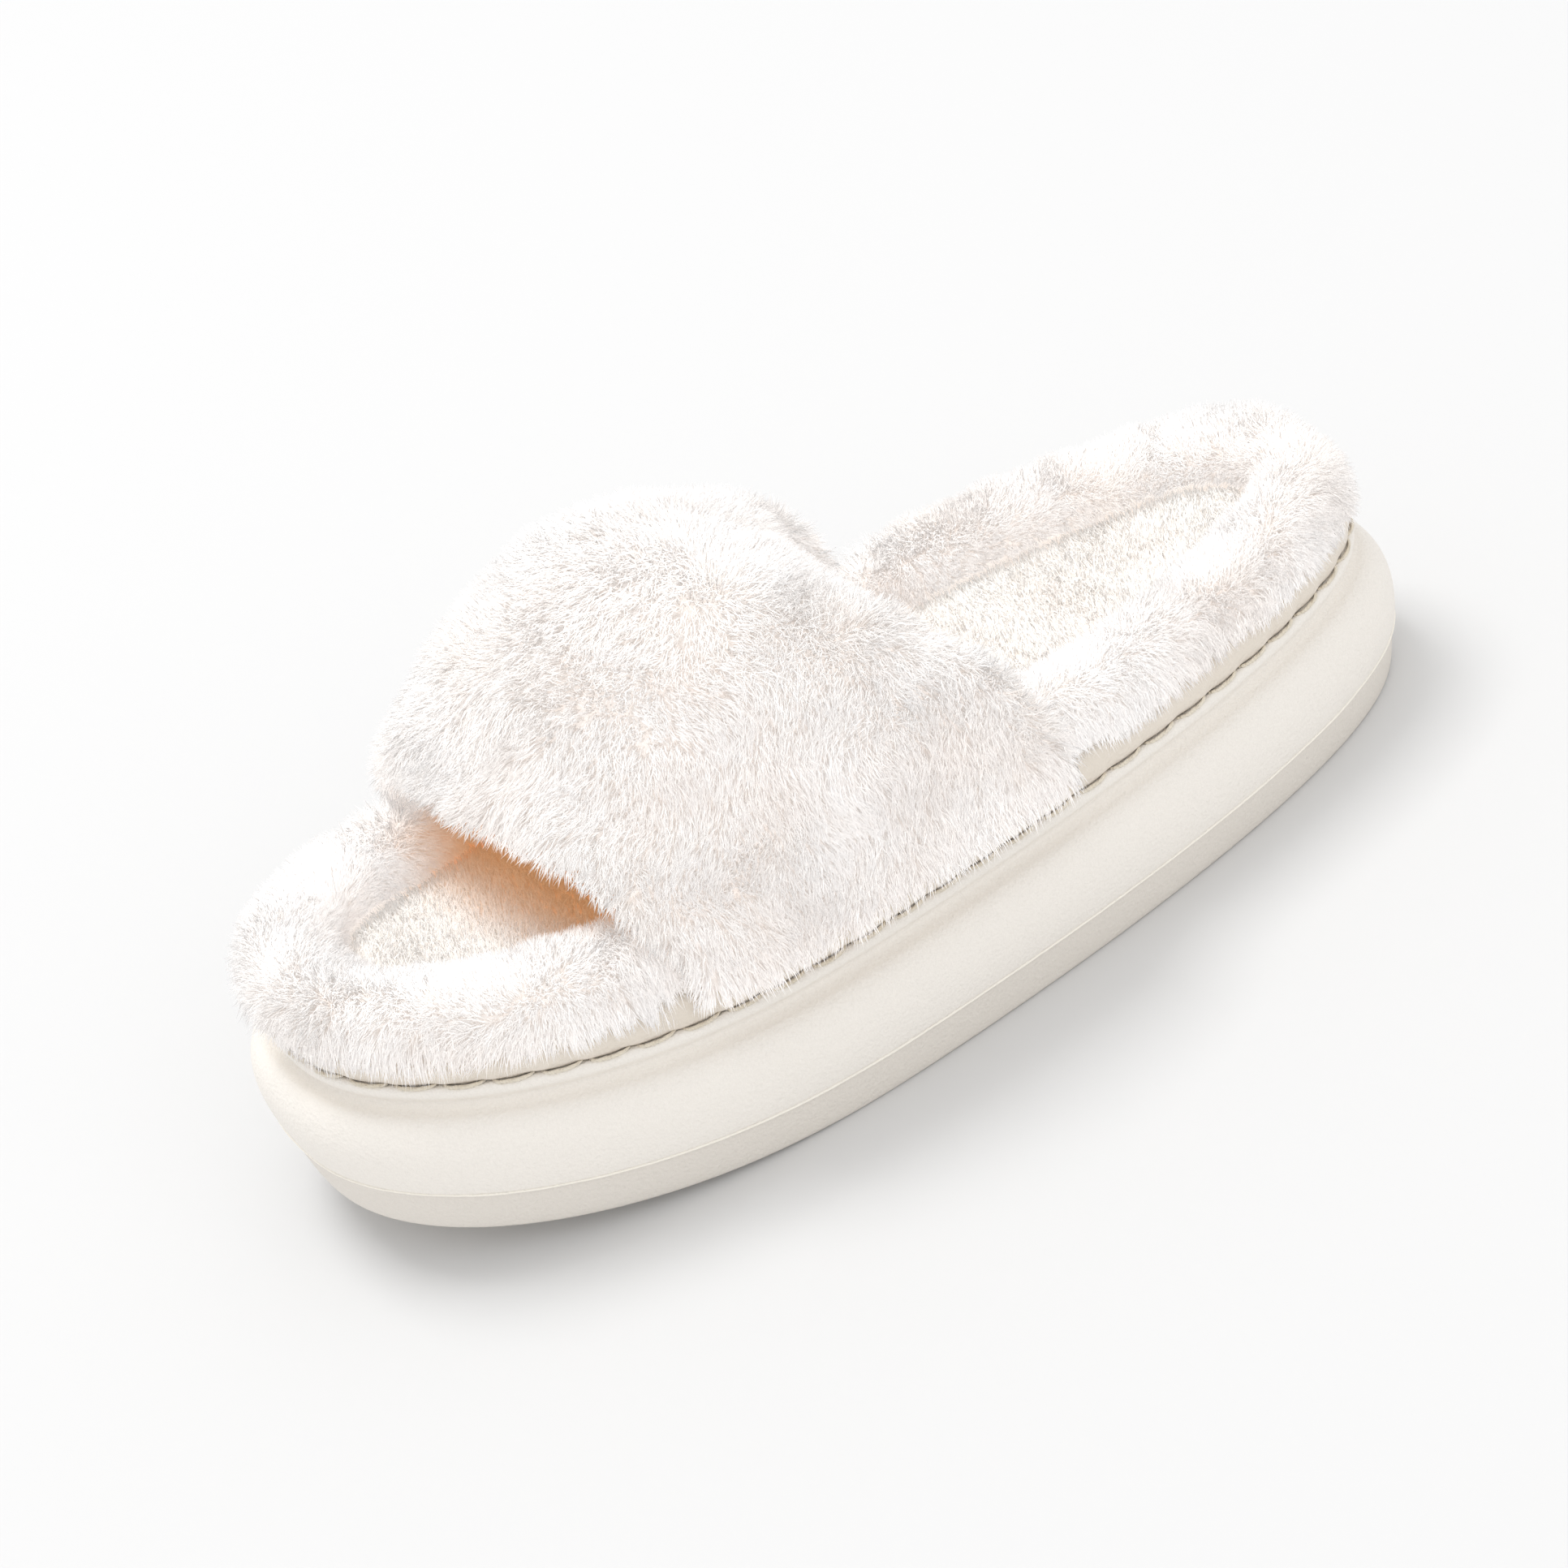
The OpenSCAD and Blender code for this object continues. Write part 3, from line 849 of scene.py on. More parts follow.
@dataclass(frozen=True)
class Pile:
    """Fur as closed tapered fibres that lean together in tufts."""

    length: float
    width: float
    spread: float
    tuft: float
    gather: float
    arch: float
    soft_normal: float
    seed: int

    def gathered(self, roots: np.ndarray, ways: np.ndarray, lengths: np.ndarray,
                 rng: np.random.Generator) -> np.ndarray:
        """Gives each fibre's tip, drawn towards the tip of its tuft.

        Args:
            roots: Root of each fibre.
            ways: Direction of each fibre.
            lengths: Length of each fibre.
            rng: Seeded source of randomness.

        Returns:
            The tips.
        """
        tips = roots + ways * lengths[:, None]
        count = len(roots)
        chosen = rng.choice(count, size=max(8, self.tufts(count, roots)), replace=False)
        tree = KDTree(len(chosen))
        for number, index in enumerate(chosen):
            tree.insert(roots[index], number)
        tree.balance()
        nearest = chosen[np.fromiter((tree.find(p)[1] for p in roots), int, count)]
        pull = self.gather * rng.uniform(0.5, 1.0, count)[:, None]
        drawn = mix(tips, tips[nearest], pull) - roots
        return roots + unit(drawn) * lengths[:, None]

    def tufts(self, count: int, roots: np.ndarray) -> int:
        """Gives the number of tufts for a patch from the spacing of its roots.

        Args:
            count: How many fibres the patch has.
            roots: Root of each fibre.

        Returns:
            The number of tufts.
        """
        sample = roots[:400]
        tree = KDTree(count)
        for index, place in enumerate(roots):
            tree.insert(place, index)
        tree.balance()
        near = np.array([len(tree.find_range(p, self.tuft)) for p in sample]).mean()
        return int(count / max(near * 0.35, 1.0))

    def fibres(self, roots: np.ndarray, outward: np.ndarray, lean: np.ndarray,
               share: np.ndarray) -> tuple[np.ndarray, np.ndarray, np.ndarray, np.ndarray, np.ndarray]:
        """Builds the fibres.

        Args:
            roots: Root of each fibre.
            outward: Way out of the skin at each root.
            lean: How the fibre is combed away from that.
            share: Share of the full length for each fibre.

        Returns:
            Points, triangles, depth along the fibre, tone, and shading normals.
        """
        rng = np.random.default_rng(self.seed)
        count = len(roots)
        ways = unit(outward + lean + rng.normal(0, self.spread, (count, 3)))
        lengths = self.length * share * rng.uniform(0.72, 1.08, count)
        tips = self.gathered(roots, ways, lengths, rng)
        axis = unit(tips - roots)
        side = unit(np.cross(axis, rng.normal(size=(count, 3))))
        other = np.cross(axis, side)
        middle = (roots + tips) / 2 + (outward * self.arch - axis * self.arch * 0.3) * lengths[:, None]
        middle += rng.normal(0, 0.04, (count, 3)) * lengths[:, None]
        radius = self.width / 2 * rng.uniform(0.75, 1.25, count)[:, None]
        around = [side * math.cos(turn) + other * math.sin(turn) for turn in (0, 2.0944, 4.18879)]
        low = roots - outward * self.length * 0.08
        rings = [low + radius * a for a in around] + [middle + radius * 0.85 * a for a in around] + [tips]
        points = np.stack(rings, axis=1)
        own = np.stack(around + around + [axis], axis=1)
        normals = unit(mix(own, outward[:, None, :], self.soft_normal))
        faces = (FIBRE_FACES[None] + np.arange(count)[:, None, None] * FIBRE_POINTS).reshape(-1, 3)
        depth = np.tile(FIBRE_DEPTHS, count)
        tone = np.repeat(rng.random(count) ** 2, FIBRE_POINTS)
        return points.reshape(-1, 3), faces, depth, tone, normals.reshape(-1, 3)

    def grow(self, name: str, roots: np.ndarray, outward: np.ndarray, lean: np.ndarray,
             share: np.ndarray, finish: Finish, slot: Slot, painted_shade: np.ndarray) -> list[bpy.types.Object]:
        """Makes the pile as one or more pieces.

        Args:
            name: Start of the pieces' names.
            roots: Root of each fibre.
            outward: Way out of the skin at each root.
            lean: How each fibre is combed.
            share: Share of the full length for each fibre.
            finish: The fibres' finish.
            slot: Their material slot.
            painted_shade: How much painted tan shade each fibre takes.

        Returns:
            The pieces.
        """
        order = np.argsort(roots[:, 1], kind="stable")
        roots, outward, lean, share, painted_shade = (v[order] for v in (roots, outward, lean, share, painted_shade))
        points, faces, depth, tone, normals = self.fibres(roots, outward, lean, share)
        made = []
        for part, first in enumerate(range(0, len(roots), STRANDS_PER_PIECE)):
            last = min(first + STRANDS_PER_PIECE, len(roots))
            span = slice(first * FIBRE_POINTS, last * FIBRE_POINTS)
            sides = faces[first * len(FIBRE_FACES):last * len(FIBRE_FACES)] - first * FIBRE_POINTS
            piece = add_mesh(f"{name}_{part + 1}", points[span], [sides], finish)
            put_value(piece, "fibre", depth[span])
            put_value(piece, "tone", tone[span])
            put_value(piece, "painted_shade", np.repeat(painted_shade[first:last], FIBRE_POINTS))
            piece.data.normals_split_custom_set_from_vertices(normals[span].tolist())
            made.append(hand_over(piece, slot))
        return made


@dataclass
class MouldedSole:
    """The one-piece foam unit sole."""

    last: Last
    stack: Stack
    steps: int = 560
    band_lean: float = 2.2 * MM
    flash_proud: float = 0.45 * MM
    tread_depth: float = 1.5 * MM
    tread_pitch: float = 11 * MM
    tread_width: float = 3 * MM
    tread_share: float = 0.62
    tread_stop: float = 34 * MM
    crest_share: float = 0.4
    low_turn: float = 55
    high_turn: float = 88
    undercut: float = 2.4 * MM
    step: float = 0.5 * MM

    def wall(self) -> np.ndarray:
        """Gives the outside profile from the ground up: band, flash, bulge, groove, bead and lip.

        Returns:
            Rows of inset and height.
        """
        s = self.stack
        turn = np.radians(np.linspace(-self.low_turn, self.high_turn, 36))
        crest = s.band_height + s.bulge_height * self.crest_share
        low = turn < 0
        depth = np.where(low, self.undercut, s.bulge_depth)
        drop = (crest - s.band_height) / math.sin(math.radians(self.low_turn))
        reach = np.where(low, drop, s.bulge_top - crest)
        bulge = np.stack([depth * (1 - np.cos(turn)), crest + reach * np.sin(turn)], axis=-1)
        foot = bulge[0, 0]
        ground = foot + self.band_lean
        lower = [[ground + 0.7 * MM, 0.0], [ground + 0.2 * MM, 0.2 * MM], [ground, 0.7 * MM]]
        band = [[mix(ground, foot + self.step, t ** 0.8), mix(0.7 * MM, s.band_height - 0.55 * MM, t)]
                for t in np.linspace(0.1, 1, 10)]
        flank = foot - 0.7 * self.flash_proud
        flash = [[foot + 0.1 * MM, s.band_height - 0.35 * MM], [flank, s.band_height - 0.2 * MM],
                 [foot - self.flash_proud, s.band_height], [flank, s.band_height + 0.18 * MM],
                 [foot, s.band_height + 0.28 * MM]]
        groove = [[0.6, 0.15], [1.3, 0.45], [2.0, 0.9], [2.35, 1.5], [2.2, 2.1], [1.6, 2.7], [1.0, 3.3],
                  [0.6, 3.9], [0.45, 4.5], [0.45, 5.1], [0.6, 5.6], [0.9, 6.0], [1.3, 6.2], [2.6, 6.2]]
        lip = [[s.bulge_depth + inset * MM, s.bulge_top + height * MM] for inset, height in groove]
        return np.array(lower + band + flash + bulge[1:].tolist() + lip)

    def tread(self, points: np.ndarray) -> np.ndarray:
        """Gives how deep the cross grooves cut the underside.

        Args:
            points: Points on the underside.

        Returns:
            The depth at each point.
        """
        x, y = points[..., 0], points[..., 1]
        front = -self.last.length / 2 + self.last.lift_length
        within = clamp01((self.last.length / 2 - self.tread_stop + self.tread_width - y) / MM)
        within = within * clamp01((y - front + MM) / MM)
        reach = self.tread_share * self.last.half_width(y)
        aside = np.abs(x - self.last.centre_x(y) + self.last.offset())
        within = within * clamp01((reach - aside) / (1.5 * MM))
        place = (y - front) % self.tread_pitch
        edge = np.minimum(place, self.tread_width - place)
        return self.tread_depth * within * clamp01(edge / (0.5 * MM) + 0.5)

    def build(self) -> bpy.types.Object:
        """Builds the sole.

        Returns:
            The sole, with its wall, cup and grooved underside.
        """
        s, angles = self.stack, self.last.angles(self.steps)
        wall = self.wall()
        cup = np.array([[s.lip_inside, s.cup_floor], [self.last.heel_width * 0.3, s.cup_floor]])
        profile = np.concatenate([wall, cup])
        rings = self.last.point(angles[None], profile[:, :1], profile[:, 1:])
        seam = (profile[:, 1] > s.band_height - 0.4 * MM) & (profile[:, 1] < s.band_height + 0.3 * MM)
        ragged = (0.5 + 0.5 * wander(rings, 22 * MM, 5))[..., None] * seam[:, None, None]
        outward = unit(rings[:1] - rings.mean(axis=1, keepdims=True)) * np.array([1, 1, 0])
        rings = rings - outward * ragged * self.flash_proud * 0.5
        soft = wander(rings, 60 * MM, 9, 1)[..., None] * 0.12 * MM
        rings = rings + outward * soft * (profile[:, 1] > MM)[:, None, None]
        under_insets = np.linspace(wall[0, 0], self.last.heel_width * 0.45, 72)[1:, None]
        under = self.last.point(angles[None], under_insets, np.zeros_like(under_insets))
        under[..., 2] += self.tread(under)
        points = np.concatenate([under[::-1], rings])
        sole = add_mesh("moulded_sole", points, oval_faces(len(points), self.steps), Finishes.sole)
        put_value(sole, "level", np.repeat(np.concatenate([np.zeros(len(under)), profile[:, 1]]), self.steps))
        return hand_over(sole, Slot.SOLE, "eva_sole")


@dataclass
class SeamedRand:
    """The smooth strip between fur and sole, and the thick thread at its foot."""

    last: Last
    stack: Stack
    steps: int = 640
    stitch_pitch: float = 9.6 * MM
    stitch_length: float = 8.0 * MM
    thread_radius: float = 0.42 * MM
    pucker: float = 0.45 * MM

    def count(self) -> int:
        """Gives the number of stitches round the sole."""
        around = self.last.walk(721, self.stack.lip_outside, 0.0)[1][-1]
        return int(round(around / self.stitch_pitch))

    def build_strip(self) -> bpy.types.Object:
        """Builds the rand, drawn in a little at each stitch.

        Returns:
            The rand.
        """
        s = self.stack
        outside = s.lip_inside - s.rand_thickness
        top = s.rand_fold + s.rand_show
        back = s.lip_inside + s.rand_thickness
        low = s.lip_top + 0.15 * MM
        belly = [[outside + 0.7 * MM, low], [outside + 0.1 * MM, low + 0.3 * MM],
                 [outside - 0.4 * MM, low + 1.1 * MM], [outside - 0.75 * MM, s.rand_fold + 2.2 * MM],
                 [outside - 0.7 * MM, s.rand_fold + 3.8 * MM], [outside - 0.3 * MM, s.rand_fold + 5.2 * MM],
                 [outside + 0.3 * MM, top]]
        profile = np.array([[back, s.cup_floor + 4 * MM], [s.lip_inside, s.cup_floor + 4 * MM],
                            [s.lip_inside, s.lip_top + 0.1 * MM]] + belly + [[back, top]])
        angles = self.last.angles(self.steps)
        phase = np.arange(self.steps) / self.steps * self.count() * 2 * math.pi
        drawn = (0.5 + 0.5 * np.cos(phase)) ** 2
        reach = np.zeros(len(profile))
        reach[3:7] = [1.0, 1.0, 0.8, 0.45]
        insets = profile[:, :1] + reach[:, None] * drawn[None] * self.pucker
        points = self.last.point(angles[None], insets, profile[:, 1:])
        points[..., 2] += (reach > 0)[:, None] * wander(points, 35 * MM, 3) * 0.12 * MM
        faces = ring_faces(len(profile), self.steps, closed_rows=True)
        return hand_over(add_mesh("rand", points, [faces], Finishes.rand), Slot.RAND, "rand_strip")

    def build_stitches(self) -> bpy.types.Object:
        """Builds the row of thread, each stitch dipping into its holes.

        Returns:
            The stitches as one piece.
        """
        s, count, sides, rings = self.stack, self.count(), 10, 13
        share = np.linspace(0, 1, rings)
        bow = np.sin(share * math.pi) ** 0.5
        fine, runs = self.last.walk(2881, s.lip_outside, s.lip_top + s.seam_gap / 4)
        begin = np.arange(count)[:, None] * runs[-1] / count + (self.stitch_pitch - self.stitch_length) / 2
        angles = np.interp((begin + share[None] * self.stitch_length) % runs[-1], runs, fine)
        inset = s.lip_outside + 1.3 * MM - bow[None] * 1.35 * MM + 0 * angles
        rng = np.random.default_rng(12)
        slant = (share[None] - 0.5) * rng.uniform(0.1, 0.5, (count, 1)) * MM
        centres = self.last.point(angles, inset, s.lip_top + s.seam_gap / 4 + slant)
        tangent = unit(np.gradient(centres, axis=1))
        up = np.array([0.0, 0.0, 1.0])
        side = unit(np.cross(tangent, up))
        rise = np.cross(side, tangent)
        turn = np.linspace(0, 2 * math.pi, sides, endpoint=False)[None, None, :] + share[None, :, None] * 5.0
        ply = 1 + 0.16 * np.cos(3 * np.linspace(0, 2 * math.pi, sides, endpoint=False))
        radius = self.thread_radius * ply[None, None] * (0.62 + 0.38 * bow)[None, :, None]
        offset = (side[:, :, None] * (radius * np.cos(turn))[..., None]
                  + rise[:, :, None] * (radius * np.sin(turn))[..., None])
        points = centres[:, :, None] + offset
        per = rings * sides
        tube = ring_faces(rings, sides, closed_rows=False)
        quads = (tube[None] + np.arange(count)[:, None, None] * per).reshape(-1, 4)
        ends = np.array([np.arange(sides)[::-1], np.arange(sides) + per - sides])
        caps = (ends[None] + np.arange(count)[:, None, None] * per).reshape(-1, sides)
        piece = add_mesh("sidewall_stitching", points, [quads, caps], Finishes.thick_thread)
        return hand_over(piece, Slot.THICK_THREAD, "sidewall_stitches")

    def build(self) -> None:
        """Builds the rand and its stitches."""
        self.build_strip()
        self.build_stitches()


@dataclass
class PlushInsole:
    """The short plush of the footbed, a little dished and drawn down at its seam."""

    last: Last
    stack: Stack
    steps: int = 360
    rings: int = 26
    edge_gap: float = 0.3 * MM
    turn_under: float = 1.6 * MM
    seam_depth: float = 0.9 * MM
    backing_depth: float = 1.2 * MM
    dish: float = 0.6 * MM
    fibre_count: int = 48000
    pile: Pile = Pile(length=3.2 * MM, width=0.30 * MM, spread=0.3, tuft=1.8 * MM, gather=0.3, arch=0.12,
                      soft_normal=0.92, seed=31)

    def surface(self) -> np.ndarray:
        """Gives the top of the plush.

        Returns:
            Rings of points from its seam to the middle line.
        """
        s = self.stack
        share = np.linspace(0, 1, self.rings)[:, None]
        inset = np.full_like(share, s.rim_inside + self.edge_gap)
        edge = self.last.point(self.last.angles(self.steps)[None], inset, np.full_like(share, s.insole_seam))
        spine = edge * np.array([0.0, 0.7, 1.0])
        spine[..., 0] = self.last.centre_x(spine[..., 1]) - self.last.offset()
        rise = s.insole_top - self.backing_depth - s.insole_seam
        crown = rise * clamp01(share * 5) ** 0.5 - self.dish * smooth(share)
        points = mix(edge, spine, share[..., None] * 0.99)
        points[..., 2] = s.insole_seam + crown + self.last.lift(points[..., 1])
        points[..., 2] += wander(points, 42 * MM, 21) * 0.5 * MM * smooth(share * 2)
        return points

    def build(self) -> bpy.types.Object:
        """Builds the pad and its short fibres.

        Returns:
            The pad.
        """
        s = self.stack
        top = self.surface()
        tucked, edge = s.rim_inside - self.turn_under, s.rim_inside + self.edge_gap
        low = s.insole_seam - self.seam_depth
        foot = self.last.point(self.last.angles(self.steps)[None], np.array([[tucked], [tucked], [edge]]),
                               np.array([[s.footbed_top], [low], [low]]))
        points = np.concatenate([foot, top])
        pad = add_mesh("insole_pad", points, oval_faces(len(points), self.steps), Finishes.plush)
        # Painted tan shade on the pad in the toe opening under the strap.
        put_pelt(pad, 0.55, s.shade(points).ravel() * PAINTED_SHADE_SHARE)
        hand_over(pad, Slot.INSOLE, "insole_plush")
        rng = np.random.default_rng(41)
        roots, outward, _ = Skin.over(top, closed=True).scatter(self.fibre_count, rng)
        aside, along = wander(roots, 30 * MM, 6), wander(roots, 30 * MM, 7) - 0.3
        sweep = np.stack([aside, along, np.zeros_like(aside)], axis=-1)
        # Painted tan shade on the insole fibres in the toe opening under the strap.
        self.pile.grow("insole_fibres", roots, outward, sweep * 0.25, np.ones(len(roots)), Finishes.plush,
                       Slot.INSOLE, s.shade(roots) * PAINTED_SHADE_SHARE)
        return pad


@dataclass
class FurRim:
    """The padded rim: a fur roll all round the footbed that hangs over the rand."""

    last: Last
    stack: Stack
    steps: int = 420
    pelt_depth: float = 3.3 * MM
    inner_depth: float = 0.6 * MM
    roll_foot: float = 3.4 * MM
    foot_turn: float = 26
    tail_reach: float = 3 * MM
    cover_edge: float = 3 * MM
    cover_creep: float = 9 * MM
    tuck: float = 5.3 * MM
    tuck_blend: float = 10 * MM
    fibre_count: int = 112000
    pile: Pile = Pile(length=4.9 * MM, width=0.30 * MM, spread=0.24, tuft=2.2 * MM, gather=0.42, arch=0.16,
                      soft_normal=0.88, seed=51)

    def tuck_share(self, y: np.ndarray, lead: np.ndarray) -> np.ndarray:
        """Gives how far the strap presses the rim in, 0 to 1.

        Args:
            y: Place along the sole.
            lead: How much further forward the strap's front edge starts there.

        Returns:
            The share of the tuck.
        """
        s = self.stack
        return (smooth((y - s.strap_front_y + lead) / self.tuck_blend + 1.6)
                * smooth((s.strap_rear_y - y) / self.tuck_blend + 1.6))

    def rings(self, profile: np.ndarray) -> np.ndarray:
        """Gives the rings of a profile, moved in under the strap.

        Args:
            profile: Rows of inset, height and share of the tuck.

        Returns:
            Rows and columns of points.
        """
        angles = self.last.angles(self.steps)[None]
        y = self.last.point(angles, profile[:, :1], profile[:, 1:2])[..., 1]
        pressed = self.tuck_share(y, self.stack.lead_on(np.sin(angles)))
        inset = profile[:, :1] + self.tuck * profile[:, 2:] * pressed
        return self.last.point(angles, inset, profile[:, 1:2])

    def roll(self) -> np.ndarray:
        """Gives the outer face of the roll, from its foot over the top to the insole.

        Returns:
            Rows of inset, height and share of the tuck.
        """
        s = self.stack
        base = s.upper_base + self.roll_foot
        middle = s.rim_inset + s.rim_width / 2
        turn = np.radians(np.linspace(-self.foot_turn, 180, 40))
        wide = s.rim_width / 2 - np.where(turn > math.pi / 2, self.inner_depth, self.pelt_depth)
        high = s.rim_top - base - self.pelt_depth
        squash = np.where(turn < 0, 0.5, 1.0)
        return np.stack([middle - wide * np.cos(turn), base + high * np.sin(turn) * squash,
                         (1 + np.cos(turn)) / 2], axis=-1)

    def lumps(self, points: np.ndarray) -> np.ndarray:
        """Gives how far the padding swells at each point."""
        return wander(points, 55 * MM, 14) * 0.5 * MM + wander(points, 16 * MM, 15) * 0.2 * MM

    def build(self) -> bpy.types.Object:
        """Builds the pelt of the roll and its fur.

        Returns:
            The pelt.
        """
        s = self.stack
        outer = self.rings(self.roll())
        skin = Skin.over(outer, closed=True)
        outer = outer + skin.outward[:, :-1] * self.lumps(outer)[..., None]
        tail = s.rim_inside - self.tail_reach
        inner = self.rings(np.array([[s.rim_inside - 0.4 * MM, s.insole_seam, 0], [tail, s.insole_seam, 0],
                                     [tail, s.upper_base + 0.5 * MM, 0],
                                     [s.rim_inset + 7.5 * MM, s.upper_base + 0.3 * MM, 1]]))
        points = np.concatenate([outer, inner])
        faces = ring_faces(len(points), self.steps, closed_rows=True)
        pelt = add_mesh("rim_pelt", points, [faces], Finishes.fur)
        # Painted tan shade on the roll's inner rows in the toe opening under the strap.
        inside = np.repeat(smooth((np.arange(len(points)) / len(outer) - 0.55) / 0.2), self.steps)
        put_pelt(pelt, 0.5, s.shade(points).ravel() * PAINTED_SHADE_SHARE * inside)
        hand_over(pelt, Slot.RIM, "rim_fur")
        self.grow_fur(Skin.over(outer, closed=True))
        return pelt

    def covered(self, places: np.ndarray, row: np.ndarray) -> np.ndarray:
        """Gives 1 where the strap lies on the roll's outer face.

        Args:
            places: Points on the roll.
            row: Share of the way over the roll, 0 at its outer foot.

        Returns:
            The share that is covered.
        """
        s, y = self.stack, places[..., 1]
        creep = self.cover_creep * smooth(row * 2)
        front = s.strap_front_y - s.lead_on(places[..., 0]) + self.cover_edge - creep
        rear = s.strap_rear_y - self.cover_edge - creep
        along = smooth((y - front) / self.cover_edge) * smooth((rear - y) / self.cover_edge)
        return along * smooth((0.66 - row) / 0.12)

    def grow_fur(self, skin: Skin) -> None:
        """Grows the rim's fur, hanging at its foot and short where the strap covers it.

        Args:
            skin: The outer face of the roll.
        """
        rng = np.random.default_rng(61)
        rows = np.linspace(0, 1, len(skin.points))[:, None]
        covered = self.covered(skin.points, rows)
        roots, outward, row = skin.scatter(self.fibre_count, rng, 1.0 - 0.97 * covered)
        hidden = self.covered(roots, row)
        pressed = self.tuck_share(roots[:, 1], self.stack.lead_on(roots[:, 0]))
        beside = pressed * (1 - hidden) * smooth((0.6 - row) / 0.2)
        foot = smooth((0.3 - row) / 0.26)
        toe = smooth((-roots[:, 1] - 70 * MM) / (30 * MM))
        drift = wander3(roots, 38 * MM, 71)
        lean = drift * 0.4 + DOWN * (foot * 0.75 + 0.25 + 0.5 * beside)[:, None]
        hanging = mix(1.0, 1.25 + 0.45 * toe, foot)
        share = (1 - 0.65 * hidden) * hanging * (1 + 0.12 * wander(roots, 24 * MM, 75))
        share = (share + 0.8 * beside) * mix(1.0, 0.6, smooth((row - 0.8) / 0.15))
        # Painted tan shade on the inner fibres in the toe opening under the strap.
        self.pile.grow("rim_fibres", roots, outward, lean, share, Finishes.fur, Slot.RIM,
                       self.stack.shade(roots) * PAINTED_SHADE_SHARE * smooth((row - 0.55) / 0.2))


